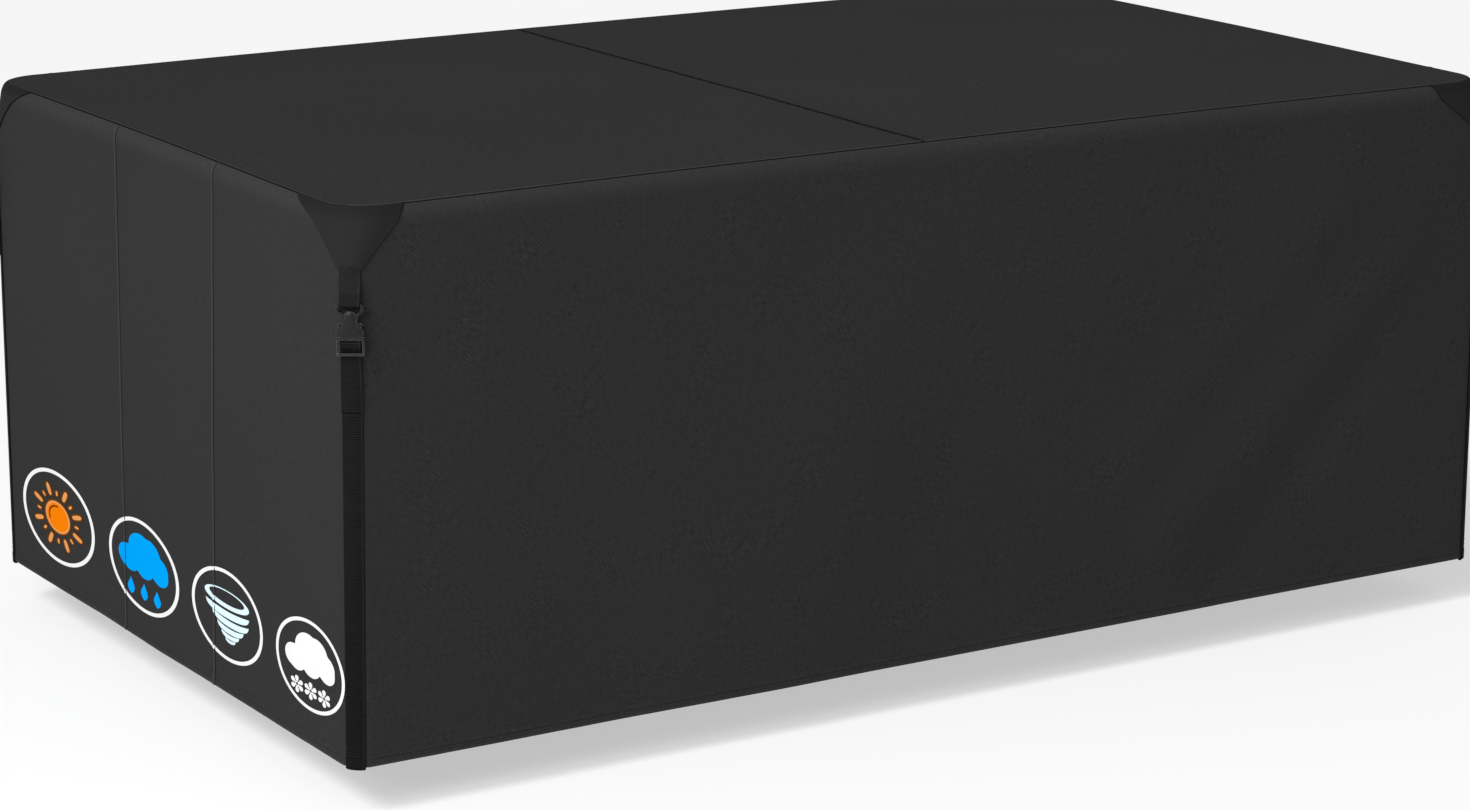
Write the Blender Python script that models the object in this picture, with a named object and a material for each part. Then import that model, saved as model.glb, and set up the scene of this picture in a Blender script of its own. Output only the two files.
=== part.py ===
"""A fitted cover for a patio table and its chairs, as it hangs over them.

The cover is a hollow box of coated polyester cloth, open below. Its top is two widths of cloth,
each long wall is one width, and each end wall is three strips. A smooth gusset reinforces each
top corner. Below the gusset a short webbing holds the socket of a side-release buckle, and a long
webbing that starts under the hem holds its plug.

Metres, +Z up. +X runs along the cover and the front long wall faces -Y. The origin is on the
underside of the top, at its middle.
"""
import math

import bmesh
import bpy
from mathutils import Vector

# Overall size
LENGTH = 1.830
WIDTH = 1.120
HEIGHT = 0.710
GAP = 0.0003

# Cloth
CLOTH_THICK = 0.0015
HEM_HEIGHT = 0.012
HEM_EXTRA = 0.0012
TOP_SEAM_X = -0.062

# Where the wall rolls over into the top
SHOULDER_REACH = 0.009
SHOULDER_DROP = 0.015
SEAM_TUCK = 0.001

# Plan radius of a corner, which tightens from the top seam down to the webbing
TOP_CORNER_RADIUS = 0.058
WALL_CORNER_RADIUS = 0.030
CORNER_TAPER = 0.080
CORNER_GAP = 0.0008
CORNER_DROOP = 0.0022
CORNER_DROOP_REACH = 0.33

# Raised edges of the seams
LIP_WIDTH = 0.0035
LIP_HEIGHT = 0.0008
SEAM_RIDGE_WIDTH = 0.004
SEAM_RIDGE_HEIGHT = 0.0009
RIDGE_FALL = 0.0015

# Gusset
GUSSET_THICK = 0.0012
GUSSET_CLEAR = 0.0010
GUSSET_TIP_HALF = 0.0135
GUSSET_TIP_DEPTH = 0.078
GUSSET_END_TAPER = (
    # depth, share of the gusset's reach left along the end wall
    (0.0, 1.0),
    (0.0206, 0.53),
    (0.0429, 0.27),
    (GUSSET_TIP_DEPTH, 0.0),
)
GUSSET_SIDE_TAPER = (
    # depth, share of the gusset's reach left along the long wall
    (0.0, 1.0),
    (0.0177, 0.91),
    (GUSSET_TIP_DEPTH, 0.0),
)
GUSSET_COLUMNS = (0.0, 0.13, 0.26, 0.39, 0.52, 0.76, 1.0)

# Webbing and buckle
WEB_THICK = 0.0014
WEB_HALF_WIDTH = 0.0125
BUCKLE_TOP = -0.1170
BAR_HALF = 0.0012
BAR_HEIGHT = 0.0050
LOOP_RADIUS = 0.0027
TAIL_END = -0.2530
STRAP_LEAN_TOP = -0.2600
HEM_TURN_UP = 0.020

MATERIALS = {
    # name: (red, green, blue, roughness)
    "cover_cloth": (0.036, 0.036, 0.037, 0.85),
    "gusset_cloth": (0.028, 0.029, 0.029, 0.75),
    "strap_webbing": (0.014, 0.014, 0.015, 0.80),
    "buckle_plastic": (0.018, 0.018, 0.019, 0.40),
}

CORNERS = (
    # name, x side, y side, turns of the strap towards the end wall at the buckle and at the hem in
    # degrees, reaches of the gusset from the corner's middle along the end and the long wall
    ("front_left", -1, -1, -12.0, -1.0, 0.110, 0.070),
    ("front_right", 1, -1, 0.0, 0.0, 0.110, 0.092),
    ("back_left", -1, 1, 19.0, 19.0, 0.125, 0.075),
    ("back_right", 1, 1, 0.0, 0.0, 0.110, 0.080),
)

END_SEAMS = (
    # y at the top seam, y at the hem
    (0.111, 0.133),
    (-0.197, -0.156),
)

CREASES = {
    # wall: (from along, from z, to along, to z, half width, rise)
    "front": (
        (0.79, -0.22, 0.36, -0.60, 0.055, 0.0050),
        (0.64, -0.16, 0.30, -0.47, 0.045, 0.0030),
        (0.72, -0.37, 0.46, -0.66, 0.040, -0.0035),
        (-0.10, -0.25, -0.30, -0.66, 0.120, 0.0025),
        (-0.62, -0.20, -0.55, -0.64, 0.110, -0.0020),
    ),
    "back": (
        (-0.70, -0.20, -0.34, -0.62, 0.060, 0.0045),
        (0.25, -0.22, 0.42, -0.64, 0.110, 0.0030),
        (0.62, -0.30, 0.50, -0.66, 0.070, -0.0030),
    ),
    "left": (
        (-0.33, -0.16, -0.40, -0.60, 0.080, 0.0025),
        (0.30, -0.20, 0.22, -0.62, 0.090, -0.0025),
        (-0.02, -0.30, 0.00, -0.68, 0.070, 0.0015),
    ),
    "right": (
        (0.32, -0.18, 0.24, -0.60, 0.080, 0.0030),
        (-0.28, -0.22, -0.36, -0.64, 0.080, -0.0025),
    ),
}
CREASE_FREE_TOP = 0.030
CREASE_FULL_DEPTH = 0.180
CREASE_FREE_CORNER = 0.060
CREASE_FULL_ALONG = 0.220

SHARP_ANGLE = 40.0
SHOULDER_STEPS = 3
GUSSET_DEPTHS = (0.028, 0.044, 0.060, 0.070, GUSSET_TIP_DEPTH)
WALL_DEPTHS = GUSSET_DEPTHS + (0.160, 0.270, 0.380, 0.500, 0.610)
ARC_STEPS = 5
TOP_MIDDLE_PARTS = (0.40, 0.70, 1.0)
TOP_ARC_ANGLES = (18.0, 36.0, 52.0, 66.0, 78.0)
TOP_EDGE_STEPS = (0.0, LIP_WIDTH, LIP_WIDTH + RIDGE_FALL, 0.030, 0.200)
LONG_WALL_STEPS = 16
END_PANEL_STEPS = 4

HALF_LENGTH = LENGTH / 2
HALF_WIDTH = WIDTH / 2
TOP_HALF_LENGTH = HALF_LENGTH - SHOULDER_REACH
TOP_HALF_WIDTH = HALF_WIDTH - SHOULDER_REACH
STRAIGHT_MARGIN = TOP_CORNER_RADIUS + SHOULDER_REACH + 0.010


def clear_scene():
    """Remove every object of the start-up scene."""
    for thing in list(bpy.data.objects):
        bpy.data.objects.remove(thing, do_unlink=True)


def make_materials():
    """One Principled material for each finish."""
    made = {}
    for name, (red, green, blue, roughness) in MATERIALS.items():
        material = bpy.data.materials.new(name)
        material.use_nodes = True
        shader = material.node_tree.nodes["Principled BSDF"]
        shader.inputs["Base Color"].default_value = (red, green, blue, 1.0)
        shader.inputs["Roughness"].default_value = roughness
        shader.inputs["Metallic"].default_value = 0.0
        material.diffuse_color = (red, green, blue, 1.0)
        made[name] = material
    return made


def smooth(value):
    """Ease from 0 to 1 over the range 0 to 1."""
    held = min(max(value, 0.0), 1.0)
    return held * held * (3.0 - 2.0 * held)


def add_object(name, mesh, material):
    """Link a finished mesh under a name, with its material."""
    mesh.materials.clear()
    mesh.materials.append(material)
    thing = bpy.data.objects.new(name, mesh)
    bpy.context.collection.objects.link(thing)
    return thing


# ---------------------------------------------------------------- cloth sheets

def grid_normals(rows):
    """The outward normal at each point of a grid, from its neighbours."""
    last_row = len(rows) - 1
    last_column = len(rows[0]) - 1
    normals = []
    for i, row in enumerate(rows):
        line = []
        for j in range(len(row)):
            down = rows[min(i + 1, last_row)][j] - rows[max(i - 1, 0)][j]
            along = row[min(j + 1, last_column)] - row[max(j - 1, 0)]
            line.append(down.cross(along).normalized())
        normals.append(line)
    return normals


def sheet(name, rows, thickness, material, middle=False):
    """A closed sheet of cloth on a grid of points.

    The rows run down and the columns to the right as the outer face is seen. The points are on
    the outer face, or halfway through the sheet where middle is set. thickness is one value for
    each row.
    """
    outer, inner = [], []
    for row, normals, thick in zip(rows, grid_normals(rows), thickness):
        lift = thick / 2 if middle else 0.0
        outer.append([point + normal * lift for point, normal in zip(row, normals)])
        inner.append([point + normal * (lift - thick) for point, normal in zip(row, normals)])
    return closed_sheet(name, outer, inner, material)


def closed_sheet(name, outer_rows, inner_rows, material):
    """A closed solid between two grids of points of the same shape."""
    shape = bmesh.new()
    outer = [[shape.verts.new(point) for point in row] for row in outer_rows]
    inner = [[shape.verts.new(point) for point in row] for row in inner_rows]
    for i in range(len(outer) - 1):
        for j in range(len(outer[0]) - 1):
            shape.faces.new((outer[i][j], outer[i + 1][j], outer[i + 1][j + 1], outer[i][j + 1]))
            shape.faces.new((inner[i][j], inner[i][j + 1], inner[i + 1][j + 1], inner[i + 1][j]))
    border = rim_path(len(outer), len(outer[0]))
    for (i, j), (k, m) in zip(border, border[1:] + border[:1]):
        shape.faces.new((outer[i][j], inner[i][j], inner[k][m], outer[k][m]))
    bmesh.ops.recalc_face_normals(shape, faces=shape.faces)
    mesh = bpy.data.meshes.new(name)
    shape.to_mesh(mesh)
    shape.free()
    mesh.shade_smooth()
    mesh.set_sharp_from_angle(angle=math.radians(SHARP_ANGLE))
    return add_object(name, mesh, material)


def rim_path(row_count, column_count):
    """The grid's border, as row and column numbers in order round it."""
    top = [(0, j) for j in range(column_count)]
    right = [(i, column_count - 1) for i in range(1, row_count)]
    bottom = [(row_count - 1, j) for j in range(column_count - 2, -1, -1)]
    left = [(i, 0) for i in range(row_count - 2, 0, -1)]
    return top + right + bottom + left


# ---------------------------------------------------------------- the cover's surface

def depth_rows():
    """Each row of a wall as (inset from the plan outline, depth, thickness)."""
    rows = []
    for step in range(SHOULDER_STEPS + 1):
        angle = math.radians(90.0) * step / SHOULDER_STEPS
        inset = (SHOULDER_REACH + SEAM_TUCK) * (1.0 - math.sin(angle))
        depth = 2 * GAP + (SHOULDER_DROP - 2 * GAP) * (1.0 - math.cos(angle))
        rows.append((inset, depth, CLOTH_THICK))
    rows += [(0.0, depth, CLOTH_THICK) for depth in WALL_DEPTHS]
    hem_top = HEIGHT - HEM_HEIGHT
    rows.append((0.0, hem_top - RIDGE_FALL, CLOTH_THICK))
    rows.append((-HEM_EXTRA / 2, hem_top, CLOTH_THICK + HEM_EXTRA))
    rows.append((-HEM_EXTRA / 2, HEIGHT, CLOTH_THICK + HEM_EXTRA))
    return rows


def inset_at(depth):
    """How far the shoulder stands in from the wall's plane at a depth."""
    if depth >= SHOULDER_DROP:
        return 0.0
    fall = max(depth - 2 * GAP, 0.0) / (SHOULDER_DROP - 2 * GAP)
    angle = math.acos(1.0 - fall)
    return (SHOULDER_REACH + SEAM_TUCK) * (1.0 - math.sin(angle))


def corner_radius(depth, inset):
    """The plan radius of the cover's corner at a depth."""
    wide = TOP_CORNER_RADIUS + SHOULDER_REACH - WALL_CORNER_RADIUS
    return WALL_CORNER_RADIUS + wide * (1.0 - smooth(depth / CORNER_TAPER)) - inset


def droop(x, y):
    """How far the cover's top edge hangs lower near its corners."""
    reach = math.hypot(TOP_HALF_LENGTH - abs(x), TOP_HALF_WIDTH - abs(y))
    return CORNER_DROOP * math.exp(-((reach / CORNER_DROOP_REACH) ** 2))


def relief(wall, along, depth):
    """How far a wall stands out in its soft folds."""
    half = HALF_WIDTH if wall in ("left", "right") else HALF_LENGTH
    edge = (half - abs(along) - CREASE_FREE_CORNER) / (CREASE_FULL_ALONG - CREASE_FREE_CORNER)
    drop = (depth - CREASE_FREE_TOP) / (CREASE_FULL_DEPTH - CREASE_FREE_TOP)
    here = Vector((along, -depth))
    total = 0.0
    for from_along, from_z, to_along, to_z, half_width, rise in CREASES[wall]:
        start = Vector((from_along, from_z))
        line = Vector((to_along, to_z)) - start
        place = min(max((here - start).dot(line) / line.length_squared, 0.0), 1.0)
        away = (here - start - line * place).length
        total += rise * math.exp(-((away / half_width) ** 2))
    return total * smooth(edge) * smooth(drop)


def wall_point(wall, along, inset, depth):
    """A point on the flat stretch of a wall, seen from outside."""
    stand = relief(wall, along, depth) - inset
    fade = 1.0 - smooth(depth / CORNER_TAPER)
    if wall in ("left", "right"):
        side = -1 if wall == "left" else 1
        x, y = side * (HALF_LENGTH + stand), along
    else:
        side = -1 if wall == "front" else 1
        x, y = along, side * (HALF_WIDTH + stand)
    return Vector((x, y, -depth - droop(x, y) * fade))


def corner_centre(x_side, y_side, inset, radius):
    """The middle of a corner's arc in plan."""
    return Vector((x_side * (HALF_LENGTH - inset - radius), y_side * (HALF_WIDTH - inset - radius)))


def corner_point(x_side, y_side, angle, inset, depth):
    """A point on a corner's arc. The angle is 0 facing the end wall's way and 90 the long wall's."""
    radius = corner_radius(depth, inset)
    middle = corner_centre(x_side, y_side, inset, radius)
    x = middle.x + x_side * radius * math.cos(angle)
    y = middle.y + y_side * radius * math.sin(angle)
    fade = 1.0 - smooth(depth / CORNER_TAPER)
    return Vector((x, y, -depth - droop(x, y) * fade))


def from_corner(x_side, y_side, along, depth):
    """A point at a distance round the cover from a corner's middle, positive on the end wall."""
    inset = inset_at(depth)
    radius = corner_radius(depth, inset)
    quarter = radius * math.radians(45.0)
    if abs(along) <= quarter:
        angle = math.radians(45.0) - along / radius
        return corner_point(x_side, y_side, angle, inset, depth)
    rest = abs(along) - quarter
    if along > 0:
        place = y_side * (HALF_WIDTH - inset - radius - rest)
        wall = "left" if x_side < 0 else "right"
    else:
        place = x_side * (HALF_LENGTH - inset - radius - rest)
        wall = "front" if y_side < 0 else "back"
    return wall_point(wall, place, inset, depth)


# ---------------------------------------------------------------- walls

def corner_angles(start, stop):
    """Angles in radians from one to another, in even steps."""
    steps = [start + (stop - start) * i / ARC_STEPS for i in range(ARC_STEPS + 1)]
    return [math.radians(step) for step in steps]


def gap_angle(radius):
    """The angle that half the gap between two walls takes at a corner."""
    return CORNER_GAP / 2 / radius


def long_wall(name, wall, material):
    """A long wall from corner to corner, seen from outside with its left end first."""
    y_side = -1 if wall == "front" else 1
    first, last = (-1, 1) if wall == "front" else (1, -1)
    reach = HALF_LENGTH - STRAIGHT_MARGIN
    places = [first * reach * (1.0 - 2.0 * i / LONG_WALL_STEPS) for i in range(LONG_WALL_STEPS + 1)]
    rows, thickness = [], []
    for inset, depth, thick in depth_rows():
        spare = gap_angle(corner_radius(depth, inset))
        middle = math.radians(45.0)
        row = []
        for angle in corner_angles(45.0, 90.0):
            row.append(corner_point(first, y_side, max(angle, middle + spare), inset, depth))
        row += [wall_point(wall, place, inset, depth) for place in places]
        for angle in corner_angles(90.0, 45.0):
            row.append(corner_point(last, y_side, max(angle, middle + spare), inset, depth))
        rows.append(row)
        thickness.append(thick)
    return sheet(name, rows, thickness, material)


def seam_place(seam, depth):
    """Where an upright seam of the end walls crosses a depth."""
    top, foot = seam
    return top + (foot - top) * depth / HEIGHT


def end_panel(name, wall, number, material):
    """One of an end wall's three strips, counted from the back of the cover to the front."""
    x_side = -1 if wall == "left" else 1
    rows, thickness = [], []
    for inset, depth, thick in depth_rows():
        spare = gap_angle(corner_radius(depth, inset))
        middle = math.radians(45.0)
        reach = HALF_WIDTH - STRAIGHT_MARGIN
        high = reach if number == 0 else seam_place(END_SEAMS[number - 1], depth) - GAP / 2
        low = -reach if number == 2 else seam_place(END_SEAMS[number], depth) + GAP / 2
        row = []
        if number == 0:
            for angle in corner_angles(45.0, 0.0):
                row.append(corner_point(x_side, 1, min(angle, middle - spare), inset, depth))
        ridge = (0.0, SEAM_RIDGE_WIDTH, SEAM_RIDGE_WIDTH + RIDGE_FALL) if number < 2 else (0.0,)
        stop = low + ridge[-1]
        row += [
            wall_point(wall, high + (stop - high) * i / END_PANEL_STEPS, inset, depth)
            for i in range(END_PANEL_STEPS + 1)
        ]
        for step in reversed(ridge[:-1]):
            raised = inset - SEAM_RIDGE_HEIGHT
            row.append(wall_point(wall, low + step, raised, depth))
        if number == 2:
            for angle in corner_angles(0.0, 45.0):
                row.append(corner_point(x_side, -1, min(angle, middle - spare), inset, depth))
        rows.append(row if wall == "left" else row[::-1])
        thickness.append(thick)
    return sheet(name, rows, thickness, material)


# ---------------------------------------------------------------- top

def edge_width(x):
    """Half the top's width at a place along it, less in the rounded corners."""
    into = abs(x) - (TOP_HALF_LENGTH - TOP_CORNER_RADIUS)
    if into <= 0.0:
        return TOP_HALF_WIDTH
    across = math.sqrt(max(TOP_CORNER_RADIUS ** 2 - into ** 2, 0.0))
    return TOP_HALF_WIDTH - TOP_CORNER_RADIUS + across


def edge_distance(x, y):
    """How far a point of the top is from the top's outline."""
    corner_x = abs(x) - (TOP_HALF_LENGTH - TOP_CORNER_RADIUS)
    corner_y = abs(y) - (TOP_HALF_WIDTH - TOP_CORNER_RADIUS)
    if corner_x > 0.0 and corner_y > 0.0:
        return TOP_CORNER_RADIUS - math.hypot(corner_x, corner_y)
    return min(TOP_HALF_LENGTH - abs(x), TOP_HALF_WIDTH - abs(y))


def top_half(name, side, material):
    """One width of the top, from the seam across the cover to an end."""
    seam = TOP_SEAM_X + side * GAP / 2
    start = TOP_HALF_LENGTH - TOP_CORNER_RADIUS
    columns = [seam]
    if side > 0:
        columns += [seam + SEAM_RIDGE_WIDTH, seam + SEAM_RIDGE_WIDTH + RIDGE_FALL]
    columns += [side * start * part for part in TOP_MIDDLE_PARTS]
    for angle in TOP_ARC_ANGLES:
        columns.append(side * (start + TOP_CORNER_RADIUS * math.sin(math.radians(angle))))
    columns.append(side * TOP_HALF_LENGTH)
    rows, inner = [], []
    for x in columns:
        width = edge_width(x)
        half = [width - step for step in TOP_EDGE_STEPS]
        places = half + [0.0] + [-y for y in half[::-1]]
        row, under = [], []
        for y in places:
            edge = edge_distance(x, y)
            raised = LIP_HEIGHT if edge <= LIP_WIDTH + GAP else 0.0
            if side > 0 and x - seam <= SEAM_RIDGE_WIDTH + GAP:
                raised = max(raised, SEAM_RIDGE_HEIGHT)
            row.append(Vector((x, y, CLOTH_THICK + raised - droop(x, y))))
            under.append(Vector((x, y, -droop(x, y))))
        rows.append(row if side > 0 else row[::-1])
        inner.append(under if side > 0 else under[::-1])
    return closed_sheet(name, rows, inner, material)


# ---------------------------------------------------------------- gussets

def share_left(taper, depth):
    """The share of a gusset's reach that its taper leaves at a depth."""
    for (above, most), (below, least) in zip(taper, taper[1:]):
        if depth <= below:
            return most + (least - most) * (depth - above) / (below - above)
    return taper[-1][1]


def gusset(name, x_side, y_side, turn, end_reach, side_reach, material):
    """The smooth patch that lies over a top corner and narrows down to the webbing."""
    shift = WALL_CORNER_RADIUS * math.radians(turn)
    end_tip, side_tip = GUSSET_TIP_HALF + shift, GUSSET_TIP_HALF - shift
    depths = [row[1] for row in depth_rows()[1:] if row[1] <= GUSSET_TIP_DEPTH]
    rows = []
    for depth in depths:
        end_half = end_tip + (end_reach - end_tip) * share_left(GUSSET_END_TAPER, depth)
        side_half = side_tip + (side_reach - side_tip) * share_left(GUSSET_SIDE_TAPER, depth)
        places = [-side_half * part for part in GUSSET_COLUMNS[:0:-1]]
        places += [end_half * part for part in GUSSET_COLUMNS]
        row = [from_corner(x_side, y_side, place, depth) for place in places]
        rows.append(row if x_side * y_side < 0 else row[::-1])
    rise = GUSSET_CLEAR + GUSSET_THICK
    lifted = [
        [point + normal * rise for point, normal in zip(row, normals)]
        for row, normals in zip(rows, grid_normals(rows))
    ]
    return sheet(name, lifted, [GUSSET_THICK] * len(rows), material)


# ---------------------------------------------------------------- webbing

def corner_frame(x_side, y_side, turn):
    """The arc's middle, the outward way and the way to the right, seen from outside a corner."""
    centre = corner_centre(x_side, y_side, 0.0, WALL_CORNER_RADIUS)
    angle = math.radians(45.0 - turn)
    outward = Vector((x_side * math.cos(angle), y_side * math.sin(angle), 0.0))
    right = Vector((-outward.y, outward.x, 0.0))
    return Vector((centre.x, centre.y, 0.0)), outward, right


def band(name, corner, path, material):
    """A strip of webbing along a path of (height off the wall, z, flatness across)."""
    x_side, y_side, turn, foot_turn = corner
    rows = []
    for height, z, flat in path:
        down = min(max((STRAP_LEAN_TOP - z) / (HEIGHT + STRAP_LEAN_TOP), 0.0), 1.0)
        centre, outward, right = corner_frame(x_side, y_side, turn + (foot_turn - turn) * down)
        reach = WALL_CORNER_RADIUS + height
        row = []
        for step in (-1.0, -0.5, 0.0, 0.5, 1.0):
            across = WEB_HALF_WIDTH * step
            bend = across / WALL_CORNER_RADIUS
            curved = outward * (reach * math.cos(bend)) + right * (reach * math.sin(bend))
            level = outward * reach + right * across
            row.append(centre + curved.lerp(level, flat) + Vector((0.0, 0.0, z)))
        rows.append(row)
    return sheet(name, rows, [WEB_THICK] * len(rows), material, middle=True)


def turn_round(middle_height, middle_z, start, stop, radius, flat):
    """Points of a turn round a bar, from one angle to another in degrees."""
    count = max(int(abs(stop - start) / 30.0), 2)
    points = []
    for i in range(count + 1):
        angle = math.radians(start + (stop - start) * i / count)
        height = middle_height + radius * math.cos(angle)
        points.append((height, middle_z + radius * math.sin(angle), flat))
    return points


def upper_web(name, corner, material):
    """The short webbing from the gusset's tip, round the socket's bar and back up behind."""
    lying = WEB_THICK / 2 + GAP
    bar_z = BUCKLE_TOP - BAR_HALF
    path = [
        (lying, -GUSSET_TIP_DEPTH - 2 * GAP, 0.0),
        (lying + 0.0008, -0.0850, 0.3),
        (lying + 0.0036, -0.1000, 0.8),
        (BAR_HEIGHT + LOOP_RADIUS - 0.0004, -0.1140, 1.0),
    ]
    path += turn_round(BAR_HEIGHT, bar_z, 0.0, -180.0, LOOP_RADIUS, 1.0)
    path += [
        (BAR_HEIGHT - LOOP_RADIUS - 0.0004, -0.1120, 1.0),
        (lying + 0.0004, -0.1010, 1.0),
    ]
    return band(name, corner, path, material)


def lower_web(name, corner, material):
    """The long webbing: inside the hem, under it, up the corner, round the plug's bar and down."""
    lying = WEB_THICK / 2 + GAP
    hem_inside = CLOTH_THICK + HEM_EXTRA / 2 + lying
    hem_outside = HEM_EXTRA / 2 + lying
    hem_middle = (hem_outside - hem_inside) / 2
    hem_half = (hem_outside + hem_inside) / 2
    bar_z = PLUG_BAR_Z
    path = [(-hem_inside, -HEIGHT + HEM_TURN_UP, 0.0)]
    path += turn_round(hem_middle, -HEIGHT, -180.0, 0.0, hem_half, 0.0)
    path += [
        (hem_outside, -HEIGHT + HEM_HEIGHT, 0.0),
        (lying, -HEIGHT + HEM_HEIGHT + 0.004, 0.0),
    ]
    path += [(lying, z, 0.0) for z in (-0.6200, -0.5480, -0.4760, -0.4040, -0.3320)]
    path += [
        (lying, STRAP_LEAN_TOP, 0.0),
        (lying, -0.2200, 0.3),
        (lying, -0.1900, 1.0),
        (lying, -0.1740, 1.0),
    ]
    path += turn_round(BAR_HEIGHT, bar_z, 170.0, -10.0, LOOP_RADIUS, 1.0)
    second = lying + WEB_THICK + GAP
    path += [
        (second + 0.0028, -0.1722, 1.0),
        (second, -0.1768, 1.0),
        (second, -0.1900, 1.0),
        (second, -0.2200, 0.3),
        (second, TAIL_END, 0.0),
    ]
    return band(name, corner, path, material)


# ---------------------------------------------------------------- buckle

# Sizes seen from the front, x to the right and z down from the buckle's top
MOUTH_HALF = 0.0168
MOUTH_Z = -0.0424
SOCKET_BACK = 0.0016
SOCKET_FRONT = 0.0104
CAVITY_HALF = 0.0142
CAVITY_TOP = -0.0220
CAVITY_BACK = 0.0036
CAVITY_FRONT = 0.0086
PLUG_FOOT = -0.0640
PLUG_SLOT_TOP = -0.0445
PLUG_BAR_MIDDLE = -0.0485
PLUG_SLOT_FOOT = -0.0612
RAIL = 0.0026
PLUG_BAR_Z = BUCKLE_TOP + PLUG_BAR_MIDDLE

SOCKET_EDGE = (
    # half width, z: the right-hand edge of the socket from its top down
    (0.0150, 0.0000),
    (0.0166, -0.0016),
    (0.0166, -0.0060),
    (0.0150, -0.0090),
    (0.0098, -0.0160),
    (0.0090, -0.0215),
    (0.0102, -0.0270),
    (0.0128, -0.0310),
    (0.0160, -0.0340),
    (MOUTH_HALF, -0.0365),
    (MOUTH_HALF, MOUTH_Z),
)

SOCKET_SLOT = (
    # half width, z: the opening that the webbing passes, below the bar
    (0.0138, -0.0024),
    (0.0138, -0.0058),
    (0.0124, -0.0084),
    (0.0088, -0.0118),
    (0.0060, -0.0096),
    (0.0030, -0.0081),
)

PRONG = (
    # x, z: one prong, from its root up the outer edge to its tip and down the inner edge
    (0.0132, -0.0440),
    (0.0132, -0.0330),
    (0.0158, -0.0300),
    (0.0156, -0.0262),
    (0.0130, -0.0232),
    (0.0112, -0.0240),
    (0.0100, -0.0300),
    (0.0094, -0.0440),
)

GUIDE_HALF = 0.0022
GUIDE_TIP = -0.0240
PRONG_BACK = CAVITY_BACK + GAP
PRONG_FRONT = CAVITY_FRONT - GAP
PLUG_BACK = 0.0036
PLUG_FRONT = 0.0080


def prism(outline, back, front):
    """A plain solid between two heights off the wall, from an outline of (x, z) points."""
    shape = bmesh.new()
    near = [shape.verts.new((x, -front, z)) for x, z in outline]
    far = [shape.verts.new((x, -back, z)) for x, z in outline]
    shape.faces.new(near)
    shape.faces.new(far[::-1])
    count = len(outline)
    for i in range(count):
        k = (i + 1) % count
        shape.faces.new((near[i], far[i], far[k], near[k]))
    bmesh.ops.recalc_face_normals(shape, faces=shape.faces)
    mesh = bpy.data.meshes.new("prism")
    shape.to_mesh(mesh)
    shape.free()
    thing = bpy.data.objects.new("prism", mesh)
    bpy.context.collection.objects.link(thing)
    return thing


def box_outline(half, top, foot):
    """A rectangle's outline about the middle."""
    return [(-half, top), (-half, foot), (half, foot), (half, top)]


def mirrored(edge):
    """A closed outline from its right-hand edge."""
    return list(edge) + [(-x, z) for x, z in reversed(edge)]


def combine(base, operation, others):
    """Add or cut solids by Booleans, and give the result as a plain mesh."""
    for other in others:
        change = base.modifiers.new("shape", "BOOLEAN")
        change.operation = operation
        change.object = other
        change.solver = "EXACT"
    bpy.context.view_layer.update()
    ready = base.evaluated_get(bpy.context.evaluated_depsgraph_get())
    mesh = bpy.data.meshes.new_from_object(ready)
    for thing in [base] + others:
        bpy.data.objects.remove(thing, do_unlink=True)
    shape = bmesh.new()
    shape.from_mesh(mesh)
    bmesh.ops.dissolve_limit(shape, angle_limit=math.radians(0.5), verts=shape.verts, edges=shape.edges)
    shape.to_mesh(mesh)
    shape.free()
    result = bpy.data.objects.new("result", mesh)
    bpy.context.collection.objects.link(result)
    return result


def socket_mesh():
    """The buckle's socket: bar, slot, bell-shaped body and the hollow for the prongs."""
    body = prism(mirrored(SOCKET_EDGE), SOCKET_BACK, SOCKET_FRONT)
    slot = prism(mirrored(SOCKET_SLOT), SOCKET_BACK - 0.001, SOCKET_FRONT + 0.001)
    hollow = prism(box_outline(CAVITY_HALF, CAVITY_TOP, MOUTH_Z - 0.001), CAVITY_BACK, CAVITY_FRONT)
    bar_half = WEB_HALF_WIDTH + 0.0013
    bar_top, bar_foot = 0.001, -0.0024 - GAP
    behind = prism(box_outline(bar_half, bar_top, bar_foot), SOCKET_BACK - 0.001, BAR_HEIGHT - BAR_HALF)
    before = prism(box_outline(bar_half, bar_top, bar_foot), BAR_HEIGHT + BAR_HALF, SOCKET_FRONT + 0.001)
    return finish_hard(combine(body, "DIFFERENCE", [slot, hollow, behind, before]), "socket")


def plug_mesh():
    """The buckle's plug: prongs, guide, and a frame with the bar that the webbing goes round."""
    frame = prism(box_outline(MOUTH_HALF, MOUTH_Z - GAP, PLUG_FOOT), PLUG_BACK, PLUG_FRONT)
    inner = MOUTH_HALF - RAIL
    window = prism(box_outline(inner, PLUG_SLOT_TOP, PLUG_SLOT_FOOT), PLUG_BACK - 0.001, PLUG_FRONT + 0.001)
    frame = combine(frame, "DIFFERENCE", [window])
    bar = prism(
        box_outline(inner + 0.001, PLUG_BAR_MIDDLE + BAR_HALF, PLUG_BAR_MIDDLE - BAR_HALF),
        BAR_HEIGHT - BAR_HALF,
        BAR_HEIGHT + BAR_HALF,
    )
    right = prism(PRONG, PRONG_BACK, PRONG_FRONT)
    left = prism([(-x, z) for x, z in PRONG[::-1]], PRONG_BACK, PRONG_FRONT)
    guide = prism(box_outline(GUIDE_HALF, GUIDE_TIP, MOUTH_Z - 0.001), PRONG_BACK, PRONG_FRONT)
    root = prism(box_outline(MOUTH_HALF - 0.001, MOUTH_Z - 2 * GAP, MOUTH_Z - 0.001), PRONG_BACK, PLUG_FRONT - 0.0004)
    return finish_hard(combine(frame, "UNION", [root, bar, right, left, guide]), "plug")


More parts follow.
